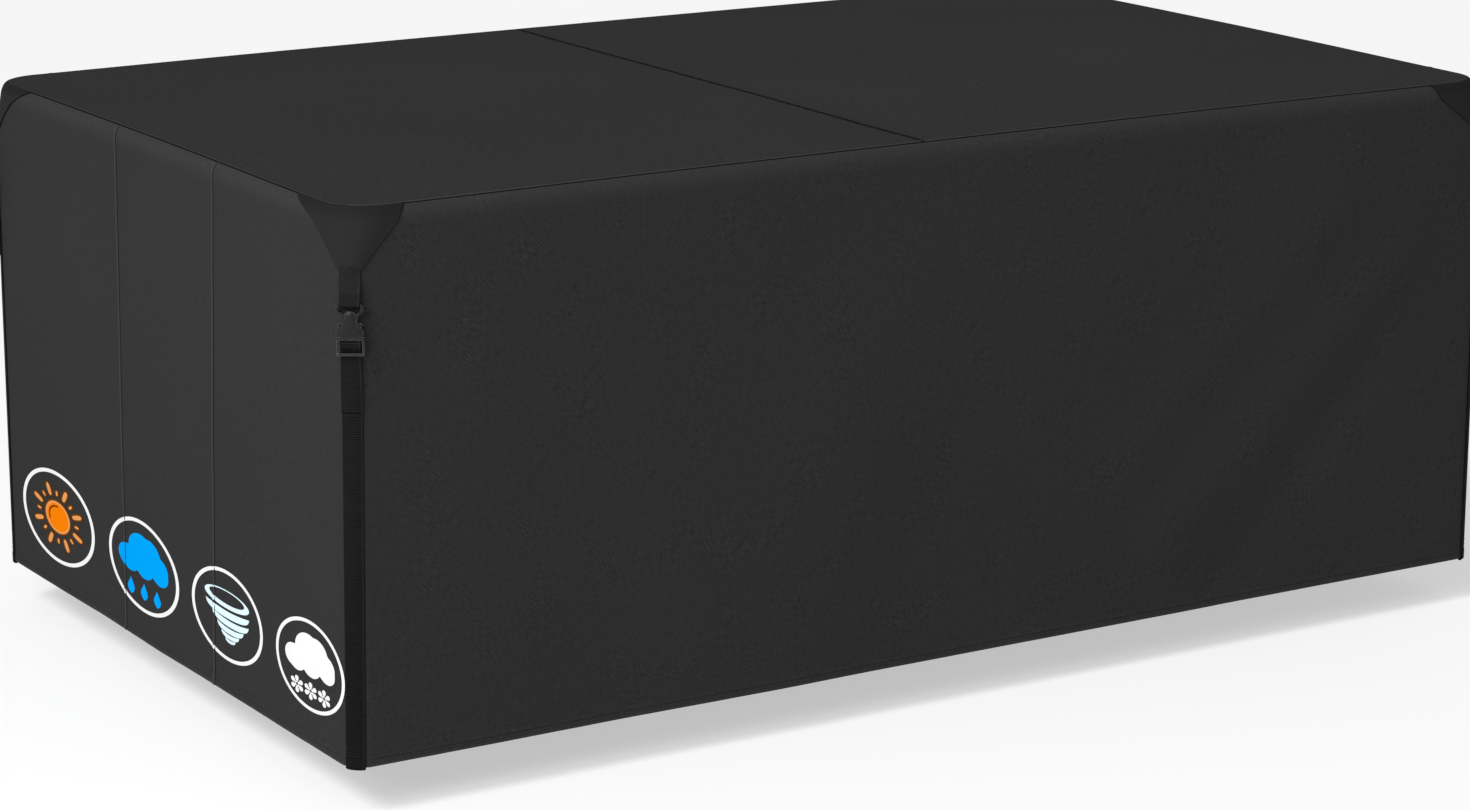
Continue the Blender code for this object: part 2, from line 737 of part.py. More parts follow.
def finish_hard(thing, name):
    """Keep a hard piece's mesh for its copies."""
    mesh = thing.data
    mesh.name = name
    bpy.data.objects.remove(thing, do_unlink=True)
    return mesh


def place_buckle(name, mesh, frame, material):
    """Stand a copy of a buckle half on a corner."""
    centre, outward, right = frame
    thing = add_object(name, mesh, material)
    start = centre + outward * WALL_CORNER_RADIUS
    thing.location = (start.x, start.y, BUCKLE_TOP)
    thing.rotation_euler = (0.0, 0.0, math.atan2(right.y, right.x))
    return thing


def main():
    """Build every piece of the cover."""
    clear_scene()
    finishes = make_materials()
    cloth = finishes["cover_cloth"]
    top_half("top_left", -1, cloth)
    top_half("top_right", 1, cloth)
    long_wall("wall_front", "front", cloth)
    long_wall("wall_back", "back", cloth)
    for wall in ("left", "right"):
        for number, part in enumerate(("back", "middle", "front")):
            end_panel(f"end_{wall}_{part}", wall, number, cloth)
    socket, plug = socket_mesh(), plug_mesh()
    for place, x_side, y_side, turn, foot_turn, end_reach, side_reach in CORNERS:
        frame = corner_frame(x_side, y_side, turn)
        corner = (x_side, y_side, turn, foot_turn)
        patch = finishes["gusset_cloth"]
        gusset(f"gusset_{place}", x_side, y_side, turn, end_reach, side_reach, patch)
        upper_web(f"web_upper_{place}", corner, finishes["strap_webbing"])
        lower_web(f"web_lower_{place}", corner, finishes["strap_webbing"])
        place_buckle(f"socket_{place}", socket, frame, finishes["buckle_plastic"])
        place_buckle(f"plug_{place}", plug, frame, finishes["buckle_plastic"])


main()
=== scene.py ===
"""A fitted patio furniture cover, hanging as it does over its table and chairs.

The cloth, its seams and hem, the corner gussets, the webbing with its buckles, the stitching and
the weather signs printed at one end are built around the solids of the cover.

Metres, +Z up. +X runs along the cover, the front long wall faces -Y and the signs face -X. The
origin is on the underside of the top, at its middle.
"""
import math

import bmesh
import bpy
from bpy.props import FloatProperty, FloatVectorProperty, PointerProperty
from mathutils import Matrix, Vector, noise


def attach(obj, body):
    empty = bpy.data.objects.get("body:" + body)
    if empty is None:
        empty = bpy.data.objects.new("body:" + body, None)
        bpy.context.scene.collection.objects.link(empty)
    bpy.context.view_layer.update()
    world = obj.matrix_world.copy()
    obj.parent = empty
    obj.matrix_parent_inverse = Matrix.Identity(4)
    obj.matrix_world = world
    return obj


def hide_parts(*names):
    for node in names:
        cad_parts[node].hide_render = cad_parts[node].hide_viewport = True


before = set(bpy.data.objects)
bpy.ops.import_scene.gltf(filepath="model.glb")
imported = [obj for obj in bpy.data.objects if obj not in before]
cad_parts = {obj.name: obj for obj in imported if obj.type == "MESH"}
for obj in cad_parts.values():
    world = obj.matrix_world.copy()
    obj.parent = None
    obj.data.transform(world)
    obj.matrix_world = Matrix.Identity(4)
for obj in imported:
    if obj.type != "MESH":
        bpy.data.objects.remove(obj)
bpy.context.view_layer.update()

bl_info = {
    "name": "Patio Furniture Cover",
    "version": (1, 0, 0),
    "blender": (4, 5, 0),
    "location": "View3D > Sidebar > Cover",
    "description": "Sews a fitted patio furniture cover with its webbing, buckles and prints",
    "category": "Add Mesh",
}

# -------- sizes fixed by the solids

LENGTH, WIDTH, HEIGHT = 1.830, 1.120, 0.710
HALF_LENGTH, HALF_WIDTH = LENGTH / 2, WIDTH / 2
SHOULDER_REACH = 0.009
TOP_HALF_LENGTH, TOP_HALF_WIDTH = HALF_LENGTH - SHOULDER_REACH, HALF_WIDTH - SHOULDER_REACH
TOP_CORNER_RADIUS, WALL_CORNER_RADIUS, CORNER_TAPER = 0.058, 0.030, 0.080
CORNER_DROOP, CORNER_DROOP_REACH = 0.0022, 0.33
STRAIGHT_MARGIN = TOP_CORNER_RADIUS + SHOULDER_REACH + 0.010
GAP, JOINT_GAP = 0.0003, 0.00001  # between pieces that lie over each other; in a sewn joint
CLOTH_THICK, HEM_STAND = 0.0015, 0.0006
TOP_SEAM_X = -0.062
END_SEAMS = ((0.111, 0.133), (-0.197, -0.156))
GUSSET_TIP_HALF, GUSSET_TIP_DEPTH = 0.0135, 0.078
GUSSET_END_TAPER = ((0.0, 1.0), (0.0206, 0.53), (0.0429, 0.27), (GUSSET_TIP_DEPTH, 0.0))
GUSSET_SIDE_TAPER = ((0.0, 1.0), (0.0177, 0.91), (GUSSET_TIP_DEPTH, 0.0))
WEB_THICK, WEB_HALF_WIDTH = 0.0014, 0.0125
BUCKLE_TOP, BAR_HALF, BAR_HEIGHT, LOOP_RADIUS = -0.1170, 0.0012, 0.0050, 0.0027
PLUG_BAR_Z = BUCKLE_TOP - 0.0485
TAIL_END, STRAP_LEAN_TOP, HEM_TURN_UP = -0.2530, -0.2600, 0.020

CORNERS = (
    # name, x side, y side, turns of the strap towards the end wall at the buckle and at the hem,
    # reaches of the gusset from the corner's middle along the end wall and along the long wall
    ("front_left", -1, -1, -12.0, -1.0, 0.110, 0.070),
    ("front_right", 1, -1, 0.0, 0.0, 0.110, 0.092),
    ("back_left", -1, 1, 19.0, 19.0, 0.125, 0.075),
    ("back_right", 1, 1, 0.0, 0.0, 0.110, 0.080),
)

# -------- the cloth's fine shape

SHOULDER = (
    # inset from the plan outline, depth, cloth thickness: from the edge tucked under the lip out
    (0.0135, 0.0030, 0.0006), (0.0112, 0.0033, 0.0006), (0.0099, 0.0028, 0.0006),
    (0.0091, 0.0014, 0.0007), (0.0085, 0.0006, 0.0007), (0.0076, 0.0004, 0.0008),
    (0.0064, 0.0008, 0.0009), (0.0051, 0.0017, 0.0010), (0.0039, 0.0031, 0.0012),
    (0.0029, 0.0045, 0.0013), (0.0020, 0.0063, 0.0014), (0.0012, 0.0084, 0.0015),
    (0.0006, 0.0106, 0.0015), (0.0002, 0.0130, 0.0015), (0.0000, 0.0158, 0.0015),
)
HEM = (
    # inset, height over the hem's edge, thickness: the turned-up hem, down to its fold
    (0.0000, 0.0210, 0.0015), (0.0000, 0.0150, 0.0015), (-0.0001, 0.0131, 0.0017),
    (-0.0006, 0.0121, 0.0027), (-0.0006, 0.0106, 0.0027), (-0.0003, 0.0099, 0.0022),
    (-0.0003, 0.0092, 0.0022), (-0.0007, 0.0084, 0.0028), (-0.0008, 0.0050, 0.0030),
    (-0.0007, 0.0022, 0.0029), (-0.0005, 0.0010, 0.0024), (-0.0001, 0.0004, 0.0016),
    (0.0006, 0.0000, 0.0004),
)
LIP = (
    # distance in from the top's outline, height of its outer face over the cloth's underside
    (0.0009, 0.0018), (0.0014, 0.00185), (0.0019, 0.0017), (0.0023, 0.0017), (0.0029, 0.0018),
    (0.0036, 0.00165), (0.0044, 0.0015), (0.0060, 0.0015),
)
LIP_ROLL = 0.0009
SEAM_RIDGE = (
    # distance from the seam on the overlapping side, rise
    (0.0, -0.0006), (0.0004, 0.0004), (0.0010, 0.0010), (0.0018, 0.0011), (0.0030, 0.0009),
    (0.0042, 0.0009), (0.0052, 0.0003), (0.0064, 0.0),
)
SEAM_REACH = 0.0065
SEAM_TUCK = (
    # distance from the seam under the overlapping side, rise of the underlying side's tucked edge
    (0.0024, -0.0008), (0.0012, -0.0018), (0.0004, -0.0023),
)
SEAM_GROOVE = (
    # distance from the seam on the underlying side, rise
    (0.0, -0.0023), (0.0009, -0.0014), (0.0015, -0.0008), (0.0022, -0.0002), (0.0032, 0.0),
)
CREASES = {
    # wall: (from along, from z, to along, to z, half width, rise)
    "front": (
        (0.79, -0.22, 0.36, -0.60, 0.055, 0.0050),
        (0.64, -0.16, 0.30, -0.47, 0.045, 0.0030),
        (0.72, -0.37, 0.46, -0.66, 0.040, -0.0035),
        (-0.10, -0.25, -0.30, -0.66, 0.120, 0.0025),
        (-0.62, -0.20, -0.55, -0.64, 0.110, -0.0020),
    ),
    "back": (
        (-0.70, -0.20, -0.34, -0.62, 0.060, 0.0045),
        (0.25, -0.22, 0.42, -0.64, 0.110, 0.0030),
        (0.62, -0.30, 0.50, -0.66, 0.070, -0.0030),
    ),
    "left": (
        (-0.33, -0.16, -0.40, -0.60, 0.080, 0.0025),
        (0.30, -0.20, 0.22, -0.62, 0.090, -0.0025),
        (-0.02, -0.30, 0.00, -0.68, 0.070, 0.0015),
    ),
    "right": (
        (0.32, -0.18, 0.24, -0.60, 0.080, 0.0030),
        (-0.28, -0.22, -0.36, -0.64, 0.080, -0.0025),
    ),
}
CREASE_FREE_TOP, CREASE_FULL_DEPTH = 0.030, 0.180
CREASE_FREE_CORNER, CREASE_FULL_ALONG = 0.060, 0.220
WALL_SEEDS = {"front": 1.7, "back": 5.1, "left": 8.3, "right": 12.9}
BROAD_WAVES, SLANT_WAVES, SLANT_SHARE = (3.1, 3.6), (8.0, 4.0, 6.5), 0.45
RIPPLE_WAVES, RIPPLE_SHARE, RIPPLE_FADE = ((34.0, 0.3), (75.0, 4.1)), 0.6, 0.022
RIPPLE_TOP, RIPPLE_CORNER, HEM_RIPPLE, HEM_SEED, NEXT_WAVE = 0.012, 0.03, 1.3, 20.0, 3.0

# how much paler, or darker below 0, the finish is painted: painted highlights on the hem's fold and on the
# shoulder over the table's rim, stronger on the end walls, and on the end seams' ridges
HEM_FOLD, WALL_HEM_HIGHLIGHT, END_HEM_HIGHLIGHT = 0.0025, 0.5, 0.6
SHOULDER_HIGHLIGHT, HIGHLIGHT_FROM, HIGHLIGHT_FADE, END_HIGHLIGHT_GAIN = 0.30, 0.008, 0.022, 1.2
SEAM_HIGHLIGHT, SEAM_HIGHLIGHT_FROM, SEAM_HIGHLIGHT_TO = 1.0, 0.0003, 0.0025

# how strong the diagonal grain is, against 1 on the long walls
END_GRAIN, TOP_GRAIN = 0.75, 1.4


# -------- settings in the sidebar

def size_setting(name, description, default, low, high):
    """A length that a user may change."""
    return FloatProperty(
        name=name, description=description, default=default, min=low, max=high, unit="LENGTH",
    )


def colour_setting(name, description, default):
    """A colour that a user may change."""
    return FloatVectorProperty(
        name=name, description=description, default=default, subtype="COLOR", size=3, min=0.0, max=1.0,
    )


class ClothSettings(bpy.types.PropertyGroup):
    """How finely the cloth is made, and how uneven it hangs."""

    step: size_setting(
        "Grid Step", "Spacing of the cloth's points on its plain stretches", 0.012, 0.006, 0.05,
    )
    unevenness: size_setting(
        "Unevenness", "Height of the broad waves in the hanging cloth", 0.0012, 0.0, 0.005,
    )
    pucker: size_setting(
        "Pucker", "Height of the small ripples beside seams and hem", 0.00022, 0.0, 0.001,
    )


class StitchSettings(bpy.types.PropertyGroup):
    """The sewing thread."""

    pitch: size_setting("Pitch", "Distance from one stitch to the next", 0.0052, 0.002, 0.02)
    length: size_setting("Length", "Length of a stitch on the surface", 0.0040, 0.001, 0.015)
    thread: size_setting("Thread", "Thickness of the sewing thread", 0.0007, 0.0002, 0.002)


class WebbingSettings(bpy.types.PropertyGroup):
    """The ribs woven into the webbing."""

    strap_pitch: size_setting(
        "Strap Rib Pitch", "Distance between ribs of the long webbing", 0.0030, 0.001, 0.01,
    )
    short_pitch: size_setting(
        "Short Rib Pitch", "Distance between ribs of the short webbing", 0.0031, 0.001, 0.01,
    )
    rise: size_setting("Rib Rise", "Height of a rib over the webbing", 0.00065, 0.0, 0.002)


class FinishSettings(bpy.types.PropertyGroup):
    """Colours of the cover's finishes."""

    cloth: colour_setting("Cloth", "Coated polyester cloth", (0.0238, 0.0238, 0.0239))
    gusset: colour_setting("Gusset", "Smooth cloth of the corner gussets", (0.0160, 0.0163, 0.0162))
    webbing: colour_setting("Webbing", "Woven strap", (0.0070, 0.0070, 0.0072))
    plastic: colour_setting("Plastic", "Moulded buckles", (0.0120, 0.0120, 0.0124))
    thread: colour_setting("Thread", "Sewing thread", (0.0095, 0.0095, 0.0100))
    white: colour_setting("White Print", "White of the printed signs", (0.69, 0.69, 0.69))
    orange: colour_setting("Orange Print", "Orange of the sun sign", (0.71, 0.170, 0.002))
    amber: colour_setting("Amber Print", "Paler orange of the sun's rim and rays", (0.62, 0.255, 0.080))
    rust: colour_setting("Rust Print", "Edges of the sun's rays", (0.120, 0.034, 0.001))
    blue: colour_setting("Blue Print", "Blue of the rain sign", (0.0005, 0.285, 0.72))
    pale_blue: colour_setting("Pale Blue Print", "Pale blue of the wind sign", (0.58, 0.71, 0.77))


class StageSettings(bpy.types.PropertyGroup):
    """Light and floor of the studio."""

    sky: FloatProperty(
        name="Sky", description="Strength of the even studio light", default=0.38, min=0.0, max=5.0,
    )
    key: FloatProperty(
        name="Key", description="Strength of the main light from the left",
        default=2.25, min=0.0, max=20.0,
    )
    fill: FloatProperty(
        name="Fill", description="Power of the broad light at the front left, in watts",
        default=99.0, min=0.0, max=1000.0,
    )
    clearance: FloatProperty(
        name="Floor Clearance", description="Height of the hem over the floor",
        default=0.065, min=0.0, max=0.5, unit="LENGTH",
    )


# -------- small helpers

def smooth(value):
    """Ease from 0 to 1 over the range 0 to 1."""
    held = min(max(value, 0.0), 1.0)
    return held * held * (3.0 - 2.0 * held)


def read_profile(table, place):
    """The value of a table of (place, value) at a place between its rows."""
    if place <= table[0][0]:
        return table[0][1]
    for (start, low), (end, high) in zip(table, table[1:]):
        if place <= end:
            return low + (high - low) * (place - start) / (end - start)
    return table[-1][1]


def spread(start, stop, step):
    """Even places from start to stop, both included, about a step apart."""
    count = max(int(round(abs(stop - start) / step)), 1)
    return [start + (stop - start) * i / count for i in range(count + 1)]


def smooth_path(points, step):
    """A Catmull-Rom curve through tuples of numbers, read about every step along its first two."""
    padded = [points[0]] + list(points) + [points[-1]]
    result = []
    for before, start, end, after in zip(padded, padded[1:], padded[2:], padded[3:]):
        length = math.hypot(end[0] - start[0], end[1] - start[1])
        count = max(int(math.ceil(length / step)), 1)
        for i in range(count):
            t = i / count
            result.append(tuple(
                0.5 * (2 * b + (c - a) * t + (2 * a - 5 * b + 4 * c - d) * t * t
                       + (3 * b - a - 3 * c + d) * t ** 3)
                for a, b, c, d in zip(before, start, end, after)
            ))
    result.append(tuple(points[-1]))
    return result


def linked(name, mesh):
    """A new object of a mesh, in the scene."""
    thing = bpy.data.objects.new(name, mesh)
    bpy.context.scene.collection.objects.link(thing)
    return thing


def mesh_of(name, shape):
    """The mesh of a bmesh, which ends here."""
    mesh = bpy.data.meshes.new(name)
    shape.to_mesh(mesh)
    shape.free()
    return mesh


def add_mark(mesh, name, values, domain="POINT"):
    """Give a mesh an attribute of one number at each point or face."""
    mesh.attributes.new(name, "FLOAT", domain).data.foreach_set("value", values)


def shade_round(mesh, sharp):
    """Shade a mesh smooth, but for edges sharper than an angle in degrees."""
    mesh.shade_smooth()
    mesh.set_sharp_from_angle(angle=math.radians(sharp))


def place_piece(name, mesh, slot, *nodes, ink=None):
    """Make a mesh a piece of the cover, on its body, for the solids that it stands for."""
    mesh.materials.clear()
    mesh.materials.append(finish(ink or slot))
    piece = linked(name, mesh)
    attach(piece, "root")
    if nodes:
        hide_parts(*nodes)
    return piece


# -------- the cover's surface

def corner_radius(depth, inset):
    """The plan radius of the cover's corner at a depth."""
    wide = TOP_CORNER_RADIUS + SHOULDER_REACH - WALL_CORNER_RADIUS
    return WALL_CORNER_RADIUS + wide * (1.0 - smooth(depth / CORNER_TAPER)) - inset


def droop(x, y):
    """How far the cover's top edge hangs lower near its corners."""
    reach = math.hypot(TOP_HALF_LENGTH - abs(x), TOP_HALF_WIDTH - abs(y))
    return CORNER_DROOP * math.exp(-((reach / CORNER_DROOP_REACH) ** 2))


def seam_place(seam, depth):
    """Where an upright seam of the end walls crosses a depth."""
    top, foot = seam
    return top + (foot - top) * depth / HEIGHT


def seam_rise(distance):
    """The rise of a felled seam at a distance from it, positive on the overlapping side."""
    if distance >= 0.0:
        return read_profile(SEAM_RIDGE, distance)
    return read_profile(SEAM_GROOVE, -distance)


def ripple(along, away, seed):
    """A small ripple along a seam that fades away from it."""
    cloth = bpy.context.scene.cover_cloth
    long, short = [noise.noise(Vector((along * turns, seed, place))) for turns, place in RIPPLE_WAVES]
    return cloth.pucker * (long + RIPPLE_SHARE * short) * math.exp(-away / RIPPLE_FADE)


def folds(wall, along, depth):
    """How far a wall stands out in its soft folds and small ripples."""
    half = HALF_WIDTH if wall in ("left", "right") else HALF_LENGTH
    edge = (half - abs(along) - CREASE_FREE_CORNER) / (CREASE_FULL_ALONG - CREASE_FREE_CORNER)
    drop = (depth - CREASE_FREE_TOP) / (CREASE_FULL_DEPTH - CREASE_FREE_TOP)
    here = Vector((along, -depth))
    total = 0.0
    for from_along, from_z, to_along, to_z, half_width, rise in CREASES[wall]:
        start = Vector((from_along, from_z))
        line = Vector((to_along, to_z)) - start
        place = min(max((here - start).dot(line) / line.length_squared, 0.0), 1.0)
        away = (here - start - line * place).length
        total += rise * math.exp(-((away / half_width) ** 2))
    seed = WALL_SEEDS[wall]
    (per_along, per_depth), (slant_along, slant, slant_depth) = BROAD_WAVES, SLANT_WAVES
    broad = noise.noise(Vector((along * per_along, depth * per_depth, seed)))
    slanted = Vector((along * slant_along + depth * slant, depth * slant_depth, seed + NEXT_WAVE))
    broad += SLANT_SHARE * noise.noise(slanted)
    total += bpy.context.scene.cover_cloth.unevenness * broad
    total *= smooth(edge) * smooth(drop)
    fine = ripple(along, max(depth - RIPPLE_TOP, 0.0), seed) * smooth(depth / RIPPLE_TOP)
    fine += HEM_RIPPLE * ripple(along, max(HEIGHT - depth, 0.0), seed + HEM_SEED)
    return total + fine * smooth((half - abs(along) - RIPPLE_CORNER) / RIPPLE_CORNER)


def wall_point(wall, along, inset, depth):
    """A point on the flat stretch of a wall."""
    stand = folds(wall, along, depth) - inset
    fade = 1.0 - smooth(depth / CORNER_TAPER)
    if wall in ("left", "right"):
        for seam in END_SEAMS:
            away = along - seam_place(seam, depth)
            if abs(away) < SEAM_REACH:
                stand += seam_rise(away)
        side = -1 if wall == "left" else 1
        x, y = side * (HALF_LENGTH + stand), along
    else:
        side = -1 if wall == "front" else 1
        x, y = along, side * (HALF_WIDTH + stand)
    return Vector((x, y, -depth - droop(x, y) * fade))


def corner_centre(x_side, y_side, inset, radius):
    """The middle of a corner's arc in plan."""
    return Vector((x_side * (HALF_LENGTH - inset - radius), y_side * (HALF_WIDTH - inset - radius)))


def corner_point(x_side, y_side, angle, inset, depth):
    """A point on a corner's arc. The angle is 0 facing the end wall's way and 90 the long wall's."""
    radius = corner_radius(depth, inset)
    middle = corner_centre(x_side, y_side, inset, radius)
    x = middle.x + x_side * radius * math.cos(angle)
    y = middle.y + y_side * radius * math.sin(angle)
    fade = 1.0 - smooth(depth / CORNER_TAPER)
    return Vector((x, y, -depth - droop(x, y) * fade))


def from_corner(x_side, y_side, along, inset, depth):
    """A point at a distance round the cover from a corner's middle, positive on the end wall."""
    radius = corner_radius(depth, inset)
    eighth = radius * math.radians(45.0)
    if abs(along) <= eighth:
        return corner_point(x_side, y_side, math.radians(45.0) - along / radius, inset, depth)
    rest = abs(along) - eighth
    if along > 0:
        place = y_side * (HALF_WIDTH - inset - radius - rest)
        wall = "left" if x_side < 0 else "right"
    else:
        place = x_side * (HALF_LENGTH - inset - radius - rest)
        wall = "front" if y_side < 0 else "back"
    return wall_point(wall, place, inset, depth)


def fading(depth, start, length):
    """A share of 1 down to a start, that fades to 0 over a length."""
    return 1.0 - smooth(max(depth - start, 0.0) / length)


def wall_painted_light(depth, hem_highlight, shoulder_gain):
    """How much paler a wall's cloth is painted at a depth, as a painted highlight: on the shoulder over the
    table's rim and on the hem's fold.
    """
    if HEIGHT - depth < HEM_FOLD:
        return hem_highlight
    return shoulder_gain * SHOULDER_HIGHLIGHT * fading(depth, HIGHLIGHT_FROM, HIGHLIGHT_FADE)


def shoulder_inset(depth):
    """How far in from the plan outline the shoulder is at a depth, outside the lip."""
    return read_profile([(row[1], row[0]) for row in SHOULDER[5:]], depth)


def wall_rows():
    """Each row of a wall as (inset, depth, thickness), from under the lip to the hem's fold."""
    step = bpy.context.scene.cover_cloth.step
    plain = spread(SHOULDER[-1][1], HEIGHT - HEM[0][1], step)[1:-1]
    rows = list(SHOULDER)
    rows += [(0.0, depth, CLOTH_THICK) for depth in plain]
    rows += [(inset, HEIGHT - height, thick) for inset, height, thick in HEM]
    return rows


# -------- cloth meshes

MID_CORNER, ARC_STEPS = math.radians(45.0), 10
STRIPS = ("back", "middle", "front")


def grid_normals(rows):
    """The outward normal at each point of a grid, from its neighbours."""
    last_row, last_column = len(rows) - 1, len(rows[0]) - 1
    normals = []
    for i, row in enumerate(rows):
        line = []
        for j in range(len(row)):
            down = rows[min(i + 1, last_row)][j] - rows[max(i - 1, 0)][j]
            along = row[min(j + 1, last_column)] - row[max(j - 1, 0)]
            line.append(down.cross(along).normalized())
        normals.append(line)
    return normals


def grid_lengths(rows):
    """For each point of a grid its distance along its row and down its column, in metres."""
    middle = len(rows[0]) // 2
    along = []
    for row in rows:
        line = [0.0]
        for before, after in zip(row, row[1:]):
            line.append(line[-1] + (after - before).length)
        along.append([place - line[middle] for place in line])
    down = [[0.0] * len(rows[0])]
    for before, after in zip(rows, rows[1:]):
        down.append([place - (b - a).length for place, a, b in zip(down[-1], before, after)])
    return [list(zip(a, d)) for a, d in zip(along, down)]


def closed_cloth(name, outer, inner, weave, painted_light=None, sharp=40.0, grain=1.0):
    """A closed mesh between two grids of points, that carries its weave's map, its painted highlights and
    painted shade, and grain.
    """
    row_count, column_count = len(outer), len(outer[0])
    count = row_count * column_count
    points = [tuple(p) for row in outer for p in row] + [tuple(p) for row in inner for p in row]
    faces = []
    for i in range(row_count - 1):
        for j in range(column_count - 1):
            a = i * column_count + j
            b, c, d = a + column_count, a + column_count + 1, a + 1
            faces.append((a, b, c, d))
            faces.append((count + a, count + d, count + c, count + b))
    border = list(range(column_count))
    border += [i * column_count + column_count - 1 for i in range(1, row_count)]
    border += [(row_count - 1) * column_count + j for j in range(column_count - 2, -1, -1)]
    border += [i * column_count for i in range(row_count - 2, 0, -1)]
    for a, b in zip(border, border[1:] + border[:1]):
        faces.append((a, b, count + b, count + a)[::-1])
    mesh = bpy.data.meshes.new(name)
    mesh.from_pydata(points, [], faces)
    flat = [place for row in weave for place in row] * 2
    layer = mesh.uv_layers.new(name="weave")
    corners = [0] * len(mesh.loops)
    mesh.loops.foreach_get("vertex_index", corners)
    layer.data.foreach_set("uv", [value for k in corners for value in flat[k]])
    # painted highlights, above 0, and painted shade, below 0, at each point
    painted_tones = [value for row in painted_light for value in row] if painted_light else [0.0] * count
    add_mark(mesh, "painted_light", painted_tones * 2)
    add_mark(mesh, "grain", [grain] * 2 * count)
    shape = bmesh.new()
    shape.from_mesh(mesh)
    bmesh.ops.recalc_face_normals(shape, faces=shape.faces)
    shape.to_mesh(mesh)
    shape.free()
    shade_round(mesh, sharp)
    return mesh


def thick_grid(rows, thickness):
    """The outer and inner faces of a cloth whose outer face is on a grid of points."""
    inner = []
    for row, normals, thick in zip(rows, grid_normals(rows), thickness):
        inner.append([p - n * thick for p, n in zip(row, normals)])
    return rows, inner


def corner_angles(start, stop, count=ARC_STEPS):
    """Angles in radians from one to another, in even steps."""
    return [math.radians(start + (stop - start) * i / count) for i in range(count + 1)]


def long_wall(wall):
    """The mesh of a long wall from corner to corner, seen from outside with its left end first."""
    y_side = -1 if wall == "front" else 1
    first, last = (-1, 1) if wall == "front" else (1, -1)
    reach = HALF_LENGTH - STRAIGHT_MARGIN
    places = spread(first * reach, last * reach, bpy.context.scene.cover_cloth.step)
    rows, thickness, painted_light = [], [], []
    for inset, depth, thick in wall_rows():
        least = MID_CORNER + JOINT_GAP / corner_radius(depth, inset)
        turns = [max(angle, least) for angle in corner_angles(45, 90)]
        row = [corner_point(first, y_side, turn, inset, depth) for turn in turns]
        row += [wall_point(wall, place, inset, depth) for place in places]
        row += [corner_point(last, y_side, turn, inset, depth) for turn in turns[::-1]]
        rows.append(row)
        thickness.append(thick)
        # painted highlight on the shoulder and on the hem's fold
        painted_light.append([wall_painted_light(depth, WALL_HEM_HIGHLIGHT, 1.0)] * len(row))
    outer, inner = thick_grid(rows, thickness)
    return closed_cloth(f"wall_cloth_{wall}", outer, inner, grid_lengths(rows), painted_light)


def end_panel(wall, number):
    """The mesh of one of an end wall's three strips, counted from the back to the front."""
    x_side = -1 if wall == "left" else 1
    reach = HALF_WIDTH - STRAIGHT_MARGIN
    ridge = [row[0] for row in SEAM_RIDGE][1:]
    groove = [JOINT_GAP] + [row[0] for row in SEAM_GROOVE][1:]
    tuck = SEAM_TUCK if number > 0 else ()
    columns = max(int(round(2 * reach / 3 / bpy.context.scene.cover_cloth.step)), 4)
    rows, thickness, painted_light = [], [], []
    for inset, depth, thick in wall_rows():
        high = reach if number == 0 else seam_place(END_SEAMS[number - 1], depth)
        low = -reach if number == 2 else seam_place(END_SEAMS[number], depth) + JOINT_GAP
        ys = [high + away for away, _ in tuck]
        ys += [high] if number == 0 else [high - place for place in groove]
        start, stop = ys[-1], low + (ridge[-1] if number < 2 else 0.0)
        ys += [start + (stop - start) * (i + 1) / columns for i in range(columns)]
        if number < 2:
            ys += [low + place for place in ridge[-2::-1]] + [low]
        row = [wall_point(wall, y, inset, depth) for y in ys]
        for point, (away, rise) in zip(row, tuck):
            point.x += x_side * (rise - seam_rise(away))
        # painted highlight on the shoulder and on the hem's fold, stronger on the end walls
        painted_tones = [wall_painted_light(depth, END_HEM_HIGHLIGHT, END_HIGHLIGHT_GAIN)] * len(row)
        # painted highlight along the ridge beside each upright seam
        for i, y in enumerate(ys):
            if number < 2 and SEAM_HIGHLIGHT_FROM < y - low < SEAM_HIGHLIGHT_TO:
                painted_tones[i] = SEAM_HIGHLIGHT
        least = MID_CORNER - JOINT_GAP / corner_radius(depth, inset)
        turns = [min(angle, least) for angle in corner_angles(45, 0)]
        if number == 0:
            row = [corner_point(x_side, 1, turn, inset, depth) for turn in turns] + row
            painted_tones = painted_tones[:1] * len(turns) + painted_tones
        if number == 2:
            row += [corner_point(x_side, -1, turn, inset, depth) for turn in turns[::-1]]
            painted_tones += painted_tones[-1:] * len(turns)
        order = 1 if wall == "left" else -1
        rows.append(row[::order])
        painted_light.append(painted_tones[::order])
        thickness.append(thick)
    outer, inner = thick_grid(rows, thickness)
    name = f"end_cloth_{wall}_{STRIPS[number]}"
    return closed_cloth(name, outer, inner, grid_lengths(rows), painted_light, grain=END_GRAIN)


# -------- top

LIP_CLEAR, LEAST_ROLL, LEAST_THICK = 0.004, 0.0001, 0.0002
LIP_STEPS = (0.0, 0.00012, 0.0004, 0.00075)
PAST_LIP_STEPS = (0.0085, 0.013, 0.021, 0.033)
CORNER_TURNS = (
    *range(4, 53, 4), 55, 58, 61, 63.5, 66, 68, 70, 71.5, 73, 74.5, 76, 77.5, 79, 80.5, 82, 83.5, 85, 87, 90,
)
TUCK_ABOVE, TUCK_BELOW, TUCK_FROM, TUCK_FADE = 0.0003, 0.0006, 0.006, 0.004
TOP_WAVES = (
    # share, turns to the metre along and across, seed
    (1.0, 2.6, 3.0, 31.0),
    (0.4, 7.0, 6.0, 37.0),
)
TOP_UNEVEN, UNEVEN_FROM, UNEVEN_FADE = 0.8, 0.01, 0.15
EDGE_SEED, SEAM_SEED = 41.0, 47.0
